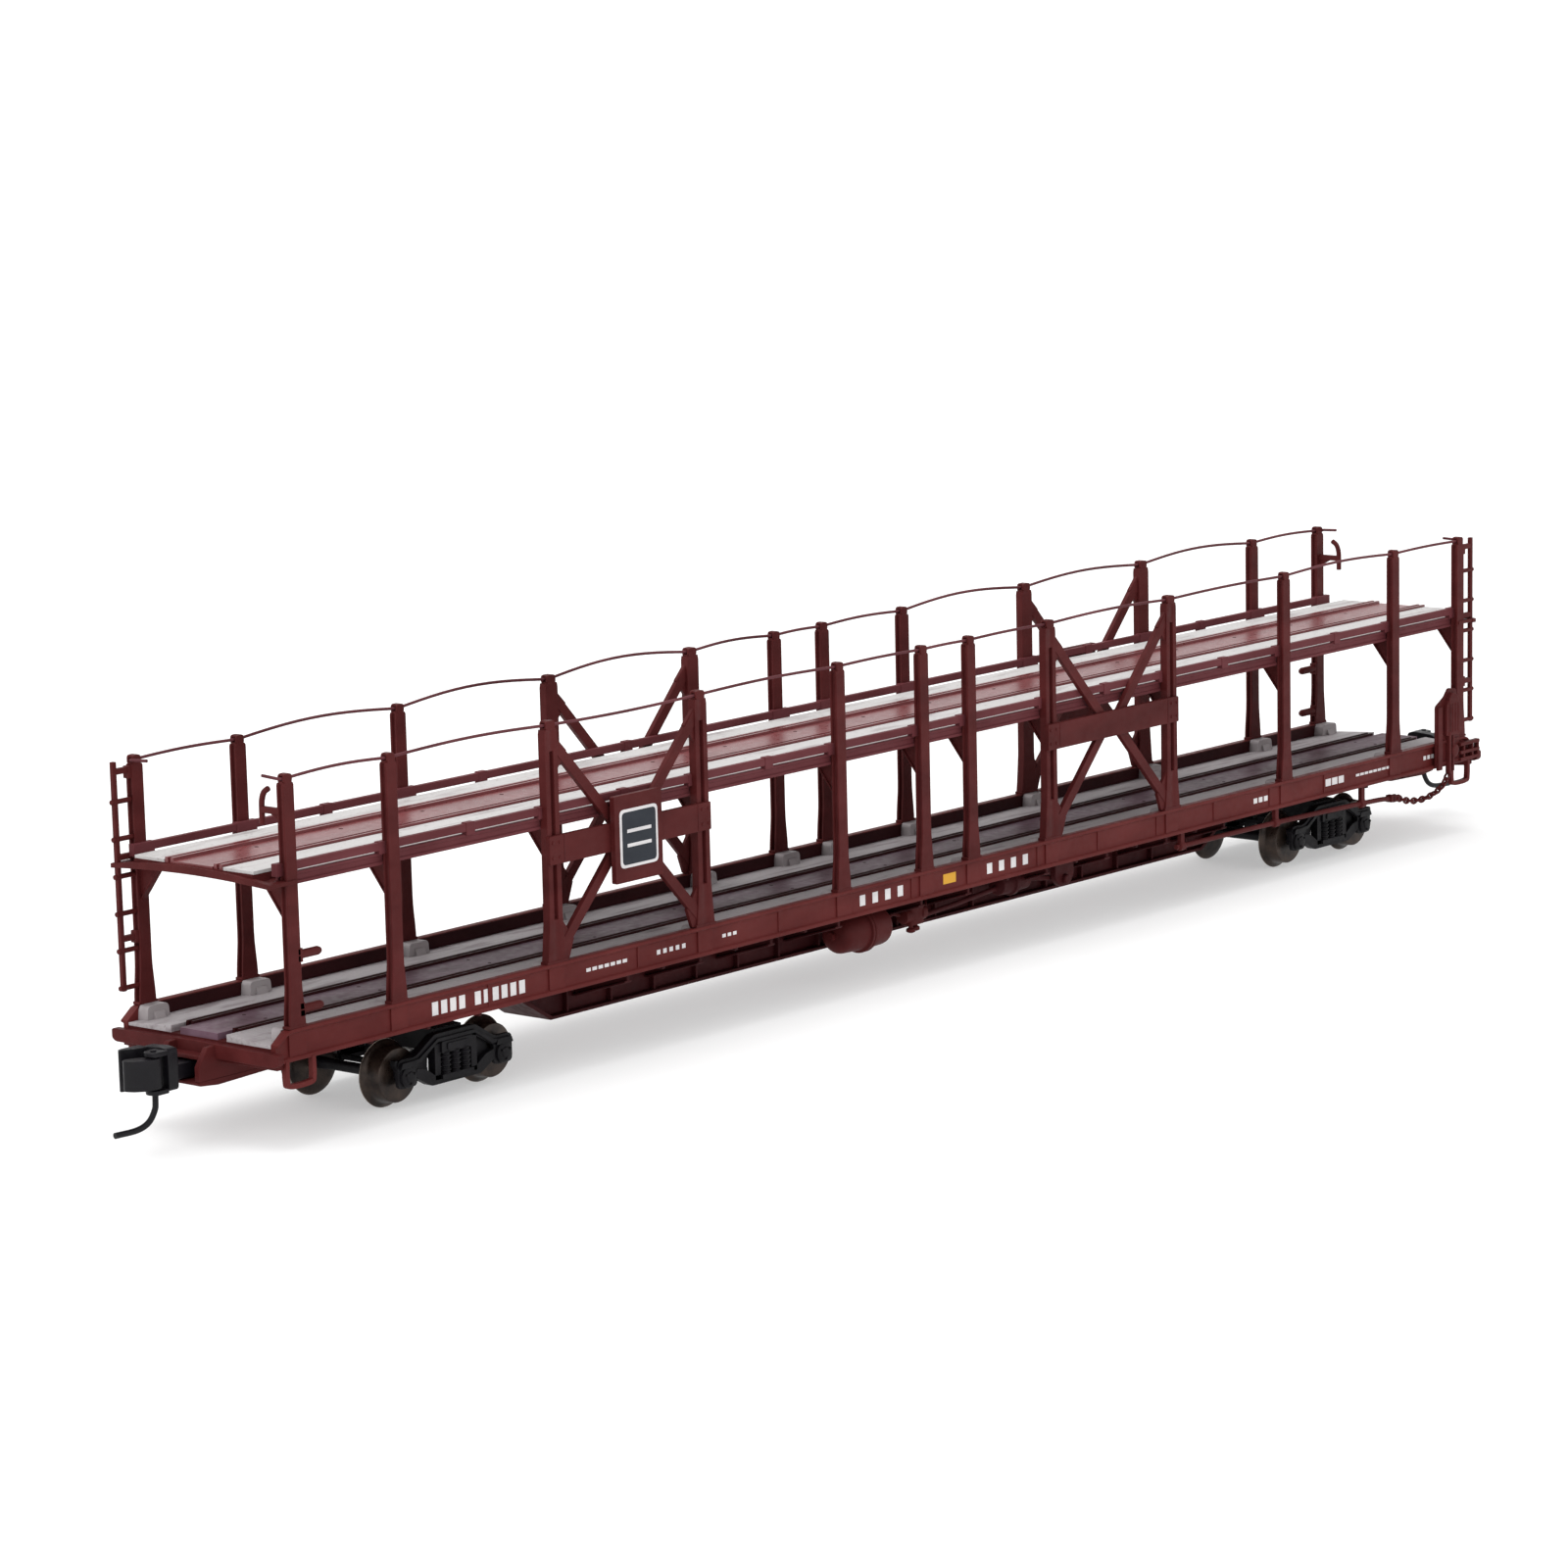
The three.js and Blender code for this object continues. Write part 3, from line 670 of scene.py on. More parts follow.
@dataclass
class SideSill:
    """A side sill: an outward channel with post pads, end tapers and a sill step at each end.

    Attributes:
        low: Bottom of the sill.
        web: Outer face of the web.
        lip: Outer edge of the flanges.
        line: Height of the middle of the markings.
    """

    low: float = 7.05
    web: float = 8.5
    lip: float = 8.8
    line: float = 8.32

    def channel(self) -> Shell:
        """The channel section, shrinking in height over its last millimetre and a half."""
        section = rounded([(-SIDE_Y, self.low), (-self.lip, self.low), (-self.lip, self.low + 0.3),
                           (-self.web, self.low + 0.42), (-self.web, SILL_TOP - 0.42),
                           (-self.lip, SILL_TOP - 0.3), (-self.lip, SILL_TOP),
                           (-SIDE_Y, SILL_TOP)], 0.07, 2)
        stations = np.array([-84.2, -83.1, -82.6, 82.6, 83.1, 84.2])
        drop = np.array([0.60, 0.93, 1.0, 1.0, 0.93, 0.60])
        flat = np.repeat(section[None], len(stations), 0)
        flat[..., 1] = self.low + (flat[..., 1] - self.low) * drop[:, None]
        return carry(flat, stations, Axis.X)

    def pads(self) -> list[Shell]:
        """Flat pads on the web under every post, and thin joint lines between them."""
        back, tall = -self.web + 0.1, (self.low + 0.3, SILL_TOP - 0.3)
        shells = [block(about(x, 0.95), (-self.web - 0.13, back), tall) for x in ALL_X]
        shells += [block(about(x, 0.09), (-self.web - 0.08, back), tall)
                   for x in np.arange(-60, 61, 9.1) if min(abs(x - p) for p in ALL_X) > 1.8]
        return shells

    def steps(self) -> list[Shell]:
        """A bent strap step hanging under the sill near each end."""
        path = smooth_path([(80.35, -8.6, 7.2), (80.35, -8.6, 5.6), (80.7, -8.6, 5.12),
                            (82.9, -8.6, 5.12), (83.25, -8.6, 5.6), (83.25, -8.6, 7.2)], 40)
        ring = np.array([(-0.24, -0.2), (0.24, -0.2), (0.24, 0.2), (-0.24, 0.2)])
        tangent = unit(np.gradient(path, axis=0))
        normal = np.stack([-tangent[:, 2], 0 * tangent[:, 2], tangent[:, 0]], -1)
        across = np.array([0.0, 1.0, 0.0])
        strap = loft(path[:, None] + ring[None, :, 1:] * normal[:, None] + ring[None, :, :1] * across)
        return [strap, strap.times(-1, 1)]

    def marks(self) -> list[Shell]:
        """Plain pale bars in place of lettering, as rows of dashes proud of the web.

        Each row is its first x, then the height, number, width and spacing of its dashes.
        """
        rows = ((-66.6, 1.1, 4, 0.7, 1.05), (-61.6, 1.1, 6, 0.7, 1.05), (-48.2, 0.3, 7, 0.55, 0.75),
                (-39.4, 0.4, 5, 0.45, 0.8), (-31.0, 0.3, 3, 0.45, 0.7),
                (-12.6, 0.95, 4, 0.75, 1.75), (5.4, 0.95, 4, 0.75, 1.75),
                (46.6, 0.5, 3, 0.6, 0.85), (58.6, 0.7, 3, 0.9, 1.1), (63.8, 0.25, 8, 0.6, 0.75),
                (75.6, 0.4, 4, 0.45, 0.7))
        shells = []
        for x, tall, count, wide, step in rows:
            lo = self.line - tall / 2
            shells += [block((x + k * step, x + k * step + wide), self.proud(), (lo, lo + tall))
                       for k in range(count)]
        return shells

    def proud(self) -> tuple:
        """The Y limits of a marking."""
        return (-self.web - 0.02, -self.web + 0.05)

    def build(self, shop: Workshop, side: Side) -> None:
        """Makes one side sill."""
        patch = block((-0.9, 0.9), self.proud(), (7.9, 8.8))
        # A thin very dark sheet on the sill's inner face: painted shade.
        sill_shade_sheet = block((-83.0, 83.0), (-8.03, -7.94), (8.4, 9.52))
        coats = [(OXIDE_SILL, [self.channel(), *self.pads(), *self.steps()]),
                 (PALE_MARK, self.marks()), (OCHRE_MARK, [patch]), (OXIDE_DEEP_AND_SILL_SHADE, [sill_shade_sheet])]
        shop.piece(f"side_sill_{side.value}", coats, "body_oxide", 0.05, side is Side.LEFT)


# ---- rack ----


@dataclass
class UpperDeck:
    """The upper deck: pale strips, double ribs, a centre channel and bowed end beams.

    Attributes:
        top: Height of the tread surface.
        half: Half the length of the deck between its end beams.
    """

    top: float = 22.05
    half: float = 84.0

    def end_beam(self) -> list[Shell]:
        """A beam across the end that rises to the middle, with flat corner plates.

        Top and bottom follow 21.22 + 0.6 (1 - (y / 8.9)^2) and 20.85 + 0.35 (1 - (y / 8.9)^2).
        """
        y = np.linspace(-8.9, 8.9, 25)
        bow = 0.6 * (1 - (y / 8.9) ** 2)
        belly = np.stack([y, 20.85 + 0.35 * bow / 0.6], -1)
        crest = np.stack([y, 21.22 + bow], -1)[::-1]
        beam = prism(np.concatenate([belly, crest]), (83.85, 84.4), Axis.X)
        plates = [block((81.45, 84.3), y2, (20.93, 21.25)) for y2 in mirrored((7.75, 8.84))]
        end = [beam, *plates]
        return end + [shell.times(-1, -1) for shell in end]

    def joists(self) -> list[Shell]:
        """Cross members under the deck at each post and halfway between."""
        return [block(about(x, 0.3), (-7.6, 7.6), (20.8, 21.2))
                for x in (*ALL_X, *MIDDLES[:3], -9.1, 9.1, *MIDDLES[3:])]

    def build(self, shop: Workshop) -> None:
        """Makes the deck as one piece."""
        h, t = self.half, self.top
        inner, bed = (-h + 0.1, h - 0.1), t - 0.3
        base = block((-h, h), (-6.6, 6.6), (21.1, t - 0.25))
        treads = [block(inner, y, (bed, t)) for y in mirrored((3.28, 6.6))]
        ribs = [prism([(a, bed), (b, bed), (b - 0.05, t + 0.19), (a + 0.05, t + 0.19)], inner, Axis.X)
                for lo in (2.2, 2.82) for a, b in mirrored((lo, lo + 0.4))]
        ledges = [block((-81.4, 81.4), y, (21.2, 21.7)) for y in mirrored((6.55, 7.62))]
        channel = block((-h, h), (-2.2, 2.2), (bed, t - 0.04))
        # Dark discs proud of the channel stand in for holes: painted shade.
        hole_shade_discs = [turned_bar([(t - 0.06, 0.19), (t - 0.025, 0.19)], (x, 1.0), Axis.Z, 14)
                 for x in np.arange(-76, 77, 9.5)]
        coats = [(OXIDE, [base, *self.joists(), *self.end_beam()]), (TREAD_UP, [*treads, *ledges]),
                 (CHANNEL_UP, [channel, *ribs]), (OXIDE_LOW_AND_HOLE_SHADE, hole_shade_discs)]
        shop.piece("upper_deck", coats, "deck_oxide", 0.05)


@dataclass
class UpperBeam:
    """An upper side beam with the rail that stands above it on small seats."""

    reach: float = 82.5

    def build(self, shop: Workshop, side: Side) -> None:
        """Makes one beam: a channel carried along X, a rail and its seats."""
        length = (-self.reach, self.reach)
        beam = prism([(-7.6, 20.7), (-SIDE_Y, 20.7), (-SIDE_Y, 20.95), (-7.86, 21.0),
                      (-7.86, 21.42), (-SIDE_Y, 21.47), (-SIDE_Y, 21.7), (-7.6, 21.7)],
                     length, Axis.X)
        rail = block(length, (-8.2, -7.72), (21.9, 22.55))
        seats = [block(about(x, 1.15), (-8.24, -7.64), (21.6, 22.62)) for x in ALL_X]
        seats += [block(about(x, 0.5), (-8.26, -7.66), (21.6, 22.64)) for x in MIDDLES]
        shop.piece(f"upper_beam_{side.value}", [(OXIDE_RAIL, [beam, rail, *seats])], "body_oxide",
                   0.05, side is Side.LEFT)


@dataclass
class Upright:
    """One rack post, standing on the side sill.

    Attributes:
        half: Half the width of the shaft.
        foot: Half the width of its foot.
        flare: Height at which the foot starts to spread.
    """

    half: float = 0.62
    foot: float = 0.88
    flare: float = 13.4

    def shaft(self, x: float) -> Shell:
        """A channel-backed shaft: an I outline whose width follows the height.

        Width w(z) runs from the foot to the shaft along a smooth half-wave between the sill
        and the flare, then narrows by 4 per cent to the top.
        """
        z = np.array([SILL_TOP, 10.2, 11.0, 11.8, 12.6, self.flare, 18.0, 28.3, 28.7, 28.9])
        s = np.clip((z - SILL_TOP) / (self.flare - SILL_TOP), 0, 1)
        w = self.foot + (self.half - self.foot) * (0.5 - 0.5 * np.cos(math.pi * s))
        w *= 1 - 0.04 * np.clip((z - self.flare) / 16, 0, 1)
        w[-1] *= 0.86
        section = [(-1, -8.75), (1, -8.75), (1, -8.55), (0.62, -8.47), (0.62, -8.24), (1, -8.16),
                   (1, -8.0), (-1, -8.0), (-1, -8.16), (-0.62, -8.24), (-0.62, -8.47), (-1, -8.55)]
        return carry(widened(section, x, w), z, Axis.Z)

    def slotted(self, x: float) -> Shell:
        """A wide shaft with a spread foot, and an upright slot in its outer face.

        The slot is 0.34 deep from z 13.3 to 27.0 and 0.02 deep below and above.
        """
        z = np.array([SILL_TOP, 10.6, 11.9, 13.2, 13.3, 13.4, 20, 27.0, 27.1, 28.5, 28.9])
        s = np.clip((z - SILL_TOP) / 4.2, 0, 1)
        w = self.foot + (self.half - self.foot) * s**0.8
        w[-1] *= 0.9
        section = [(-1, -8.75), (-0.32, -8.75), (-0.26, -8.75), (0.26, -8.75), (0.32, -8.75),
                   (1, -8.75), (1, -8.0), (-1, -8.0)]
        flat = widened(section, x, w)
        flat[:, 2:4, 1] += np.where((z > 13.25) & (z < 27.05), 0.34, 0.02)[:, None]
        return carry(flat, z, Axis.Z)

    def tab(self, x: float) -> list[Shell]:
        """The narrow rounded tab at the top, split so that the wire passes between its cheeks."""
        w = self.half * 0.72
        cheeks = [slab(rectangle(about(x, w), (28.8, 29.6)), 0.3, (y, y + 0.2), Axis.Y, 4)
                  for y in (-8.76, -8.22)]
        core = [block(about(x, w), (-8.6, -8.15), (28.75, 29.03)),
                block(about(x, w * 0.8), (-8.6, -8.15), (29.38, 29.58))]
        return cheeks + core

    def knee(self, x: float) -> list[Shell]:
        """The triangular bracket under the upper deck, with a thin edge strip."""
        return [prism([(-8.1, 18.2), (-6.15, 20.55), (-6.15, 20.72), (-8.1, 20.72)],
                      about(x, 0.22), Axis.X),
                prism([(-8.12, 18.0), (-7.98, 18.0), (-6.0, 20.5), (-6.0, 20.7), (-6.15, 20.7)],
                      about(x, 0.34), Axis.X)]

    def shells(self, x: float, shaft: Shell) -> list[Shell]:
        """A shaft with its tab, its knee and the pad between its foot and the sill."""
        pad = block((x - self.foot - 0.12, x + self.foot + 0.12), (-8.78, -7.98),
                    (SILL_TOP - 0.02, SILL_TOP + 0.22))
        return [shaft, *self.tab(x), *self.knee(x), pad]


@dataclass
class Ladder:
    """The ladder outboard of an end post, moulded on brackets."""

    rail: float = 2.25
    low: float = 10.9
    high: float = 29.3
    top_rung: float = 26.1
    pitch: float = 2.99
    rungs: int = 6

    def shells(self, x: float) -> list[Shell]:
        """Side rail, rungs whose round ends stand out, three brackets and two lugs."""
        side = block((x + self.rail - 0.2, x + self.rail + 0.22), (-8.58, -8.2),
                     (self.low, self.high))
        rungs = [rod([(x + 0.4, -8.4, z), (x + 1.4, -8.4, z), (x + self.rail + 0.42, -8.4, z)], 0.21)
                 for z in self.top_rung - self.pitch * np.arange(self.rungs)]
        arms = [block((x + 0.4, x + self.rail), (-8.62, -8.18), about(z, 0.24))
                for z in (28.5, 21.65, 15.1)]
        lugs = [block((x + 0.45, x + 0.95), (-8.7, -8.1), about(z, 0.5)) for z in (28.3, 15.1)]
        return [side, *rungs, *arms, *lugs]


def hook_work(x: float) -> list[Shell]:
    """The hook that reaches inwards and the two round pegs on the other kind of end post."""
    stem = smooth_path([(x, -5.75, 25.4), (x, -5.75, 26.6), (x, -5.8, 27.3), (x, -6.05, 27.9),
                        (x, -6.55, 28.25)], 18)
    hook = rod(stem, 0.24, 12, (1.0, 0.1, 0.05))
    arm = block(about(x, 0.22), (-8.1, -5.7), (26.3, 26.8))
    web = prism([(-8.1, 25.6), (-8.1, 26.4), (-6.6, 26.4)], about(x, 0.15), Axis.X)
    heights = (15.25, 10.95)
    pegs = [turned_bar([(x + 0.3, 0.36), (x + 2.75, 0.36), (x + 3.0, 0.26), (x + 3.1, 0.1)],
                       (-8.4, z), Axis.X, 16) for z in heights]
    collars = [block((x + 0.3, x + 0.85), (-8.75, -8.05), about(z, 0.55)) for z in heights]
    return [hook, arm, web, *pegs, *collars]


@dataclass
class Rack:
    """Everything that stands on the side sills of one side: posts, bays, sign and safety wire."""

    side: Side

    def piece(self, shop: Workshop, kind: str, coats: list, slot: str = "body_oxide",
              edge: float = 0.05, tail: str = "") -> None:
        """Makes one piece of this side."""
        shop.piece(f"{kind}_{self.side.value}{tail}", coats, slot, edge, self.side is Side.LEFT)

    def plain_posts(self, shop: Workshop) -> None:
        """Makes the eight plain posts, the first with the hook and the last with the ladder."""
        for number, x in enumerate(PLAIN_RIGHT, 1):
            shells = Upright().shells(x, Upright().shaft(x))
            if number == 1:
                shells += hook_work(x)
            if number == len(PLAIN_RIGHT):
                shells += Ladder().shells(x)
            self.piece(shop, "post", [(OXIDE, shells)], tail=f"_{number}")

    def bay(self, shop: Workshop, number: int, a: float, b: float) -> None:
        """Makes one braced bay: two posts, four braces with end plates and a cross plate."""
        mid, half = (a + b) / 2, (b - a) / 2
        wide = Upright(0.76, 1.15)
        shells = [slab(rectangle((a - 0.8, b + 0.7), (17.8, 20.15)), 0.08, (-9.0, -8.5), Axis.Y, 2)]
        for x in (a, b):
            shells += wide.shells(x, wide.slotted(x))
        bar, gusset = (-8.66, -8.2), (-8.6, -8.25)
        for s in (1, -1):
            edge = mid + s * (half - 0.6)
            shells += [
                strut((mid + s * (half - 0.1), 28.1), (mid + s * 1.2, 19.6), 0.92, bar),
                strut((mid + s * 1.2, 18.3), (mid + s * (half - 0.4), 10.3), 0.92, bar),
                prism([(edge, 25.2), (edge, 28.3), (mid + s * (half - 2.0), 26.9)], gusset, Axis.Y),
                prism([(edge, 9.7), (edge, 13.4), (mid + s * (half - 2.2), 11.3),
                       (mid + s * (half - 1.6), 9.7)], gusset, Axis.Y)]
        seams = [block(about(x, 0.05), (-9.03, -8.9), (17.85, 20.1)) for x in (a + 0.95, b - 0.95)]
        dots = [turned_bar([(-9.07, 0.1), (-9.04, 0.15), (-8.95, 0.15)], (x, z), Axis.Y, 12)
                for x in (*about(a, 0.4), *about(b, 0.4)) for z in (18.35, 19.6)]
        self.piece(shop, "bay_frame", [(OXIDE, shells), (OXIDE_RIB, seams), (OXIDE, dots)],
                   tail=f"_{number}")

    def sign(self, shop: Workshop) -> None:
        """Makes the sign panel with a plain framed field in place of any mark."""
        mid = sum(BAYS_RIGHT[0]) / 2 + 0.25
        panel = slab(rectangle(about(mid, 2.95), (15.1, 22.4)), 0.15, (-9.5, -9.0))
        frame = slab(rectangle(about(mid, 2.35), (16.3, 21.2)), 0.5, (-9.54, -9.45), Axis.Y, 4)
        inset = slab(rectangle(about(mid, 2.1), (16.55, 20.95)), 0.4, (-9.56, -9.45), Axis.Y, 4)
        bands = [block(about(mid, 1.5), (-9.58, -9.45), (z, z + 0.3)) for z in (18.0, 19.2)]
        self.piece(shop, "sign_panel", [(OXIDE, [panel]), (PALE_MARK, [frame, *bands]),
                                        (SLATE, [inset])], "sign_face", 0.03)

    def wire(self, shop: Workshop) -> None:
        """Makes a safety wire through every tab.

        Between posts the wire stands h sin(pi s) off the straight line, h different per span.
        """
        heights = {Side.RIGHT: (0.25, 0.3, -0.15, 0.2, 0.1, 0.05, 0.1, 0.25, 0.15, 0.35, 0.1),
                   Side.LEFT: (0.2, 0.55, 0.5, 0.6, 0.2, 0.1, 0.3, 0.7, 0.65, 0.55, 0.15)}[self.side]
        knots = np.array(ALL_X)
        s = np.linspace(0, 1, 14)[None, :-1]
        run = (knots[:-1, None] + np.diff(knots)[:, None] * s).ravel()
        bow = (np.array(heights)[:, None] * np.sin(math.pi * s)).ravel()
        run, bow = np.append(run, knots[-1]), np.append(bow, 0.0)
        main = np.stack([run, -8.4 - 0.25 * bow, WIRE_Z + bow], -1)
        ends = [np.array([(s2 * 82.15, -8.39, WIRE_Z), (s2 * 82.32, -8.25, WIRE_Z),
                          (s2 * 82.38, -7.9, WIRE_Z + 0.03), (s2 * 82.3, -6.4, WIRE_Z + 0.1)])
                for s2 in (-1, 1)]
        path = np.concatenate([ends[0][::-1], main, ends[1]])
        self.piece(shop, "safety_wire", [(WIRE, [rod(path, 0.13, 10)])], "wire", 0.0)

    def build(self, shop: Workshop) -> None:
        """Makes this side of the rack."""
        self.plain_posts(shop)
        for number, span in enumerate(BAYS_RIGHT, 1):
            self.bay(shop, number, *span)
        self.sign(shop)
        self.wire(shop)


# ---- brake gear ----


@dataclass
class BrakeGear:
    """Hand-brake stand, chain and rod, air reservoir and control valve."""

    def stand(self, shop: Workshop) -> None:
        """Makes the stand: sloped back plate, ribbed post, gear case with boss, end steps."""
        plate = slab([(77.0, 7.2), (81.15, 7.2), (81.15, 9.6), (80.9, 12.8), (80.55, 14.7),
                      (79.2, 14.9), (78.5, 14.1), (77.0, 13.3)], 0.25, (-9.08, -8.84))
        post = [block((77.1, 77.85), (-9.3, -9.0), (6.9, 13.2)),
                block((78.75, 79.15), (-9.5, -9.0), (6.4, 14.0)),
                block((79.5, 79.8), (-9.42, -9.0), (6.6, 10.2))]
        case = slab([(78.3, 10.2), (80.9, 10.2), (80.9, 12.9), (80.3, 14.2), (79.3, 14.5),
                     (78.3, 13.2)], 0.35, (-9.45, -9.0))
        ribs = [block((78.35 + 0.5 * k, 78.53 + 0.5 * k), (-9.5, -9.4), (10.5, 13.4))
                for k in range(5)]
        boss = turned_bar([(-9.52, 0.2), (-9.52, 0.5), (-9.45, 0.62), (-9.3, 0.62)],
                          (79.9, 8.6), Axis.Y, 20)
        straps = [block((77.0, 81.1), (-9.2, -9.0), (z, z + 0.3)) for z in (7.4, 9.5)]
        steps = [block((80.9, 84.3), (-9.45, -8.84), (z, z + 0.32)) for z in (7.35, 8.05, 8.85)]
        bars = [block((x, x + 0.28), (-9.4, -8.9), (7.3, 9.2)) for x in (81.5, 83.0, 84.0)]
        shells = [plate, *post, case, *ribs, boss, *straps, *steps, *bars]
        shop.piece("hand_brake_stand", [(OXIDE, shells)], "body_oxide", 0.06)

    def chain(self) -> list[Shell]:
        """Chain links, each a quarter turn from the last.

        A link is a round wire carried round an oval: C + a cos q A + b sin q B.
        """
        length, width, wire, pitch = 0.86, 0.5, 0.13, 0.62
        path = smooth_path([(79.0, -9.2, 6.35), (78.0, -9.05, 5.2), (76.4, -8.8, 4.5),
                            (74.6, -8.6, 4.3), (72.8, -8.45, 4.5), (71.0, -8.4, 5.05)], 240)
        run = np.concatenate([[0], np.cumsum(np.linalg.norm(np.diff(path, axis=0), axis=1))])
        spots = np.arange(0.3, run[-1], pitch)
        centres = np.stack([np.interp(spots, run, path[:, k]) for k in range(3)], -1)
        along = unit(np.gradient(centres, axis=0))
        flat = unit(np.cross(along, np.array([0.0, 1.0, 0.0])))
        upright = np.cross(along, flat)
        q = np.linspace(0, 2 * math.pi, 16, endpoint=False)[:, None]
        w = np.linspace(0, 2 * math.pi, 8, endpoint=False)[None, :, None]
        links = []
        for k, (centre, ahead) in enumerate(zip(centres, along)):
            across = flat[k] if k % 2 else upright[k]
            ray = np.cos(q) * ahead * length / 2 + np.sin(q) * across * width / 2
            out, normal = unit(ray), np.cross(ahead, across)
            rings = (centre + ray)[:, None] + wire * (np.cos(w) * out[:, None] + np.sin(w) * normal)
            links.append(loft(rings, endless=True))
        return links

    def rod_and_chain(self, shop: Workshop) -> None:
        """Makes the chain, then the clevis, the rod and its guides."""
        clevis = [block((70.0, 71.1), (-8.75, -8.5), (4.75, 5.4)),
                  block((70.0, 71.1), (-8.3, -8.05), (4.75, 5.4)),
                  block((69.6, 70.2), (-8.75, -8.05), (4.8, 5.5)),
                  turned_bar([(-8.85, 0.2), (-7.95, 0.2)], (70.8, 5.05), Axis.Y, 14)]
        line = rod(smooth_path([(69.8, -8.4, 5.15), (66, -8.4, 5.35), (50, -8.4, 5.7),
                                (34.2, -8.4, 5.8)], 40), 0.24)
        guides = []
        for x in (64.9, 50.3, 35.0):
            z = float(np.interp(x, [34, 50, 66], [5.8, 5.7, 5.35]))
            guides += [block(about(x, 0.28), (-8.62, -8.18), (z + 0.1, 7.06)),
                       turned_bar([(x - 0.4, 0.3), (x - 0.34, 0.42), (x + 0.34, 0.42),
                                   (x + 0.4, 0.3)], (-8.4, z), Axis.X, 16)]
        shop.piece("hand_brake_rod", [(OXIDE, [*self.chain(), *clevis, line, *guides])],
                   "body_oxide", 0.04)

    def reservoir(self, shop: Workshop) -> None:
        """Makes the air tank: two domed halves with a joint ring, end caps and feet."""
        axis_at = (-5.0, 4.75)
        t = np.linspace(0, math.pi / 2, 7)
        left = np.stack([-12.2 + 0.9 * (1 - np.cos(t)), 0.6 + 1.1 * np.sin(t)], -1)
        right = np.stack([-5.3 - 0.9 * (1 - np.cos(t)), 0.4 + 1.35 * np.sin(t)], -1)[::-1]
        ring = [(-9.0, 1.8), (-8.95, 2.05), (-8.7, 2.05), (-8.65, 1.95), (-8.6, 1.95),
                (-8.55, 2.05), (-8.3, 2.05), (-8.25, 1.8)]
        tank = turned_bar([*left.tolist(), *ring, *right.tolist()], axis_at, Axis.X, 40)
        caps = [turned_bar([(x, 0.35), (x + 0.4, 0.35)], axis_at, Axis.X, 16)
                for x in (-12.55, -5.45)]
        feet = [block(about(x, 0.25), (-5.9, -4.1), (6.1, 6.95)) for x in (-11.2, -6.3)]
        shop.piece("air_reservoir", [(OXIDE, [tank, *caps, *feet])], "frame_oxide", 0.05)

    def valve_body(self) -> Shell:
        """A block with rounded upright edges, whose top edge is dished by shrinking rings."""
        x, y, z, radius = (-1.9, 0.0), (-5.6, -4.3), (4.0, 5.7), 0.3
        base = rounded(rectangle(x, y), radius, 4)
        mid = np.array([sum(x) / 2, sum(y) / 2])
        t = np.linspace(0, math.pi / 2, 4)
        inset = radius * 0.8 * (1 - np.cos(t))
        half = np.array([x[1] - x[0], y[1] - y[0]]) / 2
        scale = 1 - inset[:, None] / half[None]
        rings = mid + (base - mid)[None] * np.concatenate([np.ones((1, 2)), scale])[:, None]
        heights = np.concatenate([[z[0]], z[1] - radius * 0.8 * (1 - np.sin(t))])
        return carry(rings, heights, Axis.Z)

    def valve(self, shop: Workshop) -> None:
        """Makes the control valve: two lobes on a pipe bracket with drain cocks below."""
        lobes = turned_bar([(-2.6, 0.35), (-2.5, 0.68), (-1.7, 0.72), (-1.6, 0.5), (-0.3, 0.5),
                            (-0.2, 0.72), (0.45, 0.68), (0.55, 0.35)], (-5.0, 4.9), Axis.X, 24)
        cocks = [turned_bar([(3.3, 0.2), (3.4, 0.42), (3.65, 0.42), (3.8, 0.2), (4.2, 0.24)],
                            spot, Axis.Z, 16) for spot in ((-1.5, -5.2), (-0.5, -4.9))]
        routes = ([(-2.6, -4.9, 5.0), (-3.2, -4.6, 5.2), (-4.2, -4.5, 5.0), (-4.9, -4.7, 4.9)],
                  [(0.5, -4.9, 4.9), (1.6, -4.4, 5.4), (2.4, -3.4, 5.9), (2.7, -2.6, 6.2)])
        pipes = [rod(smooth_path(route, 16), 0.17, 10) for route in routes]
        seat = block((-1.6, -0.3), (-5.3, -4.5), (5.5, 6.95))
        shop.piece("control_valve", [(OXIDE, [self.valve_body(), lobes, *cocks, *pipes, seat])],
                   "frame_oxide", 0.04)

    def build(self, shop: Workshop) -> None:
        """Makes all the brake gear."""
        self.stand(shop)
        self.rod_and_chain(shop)
        self.reservoir(shop)
        self.valve(shop)


# ---- trucks ----


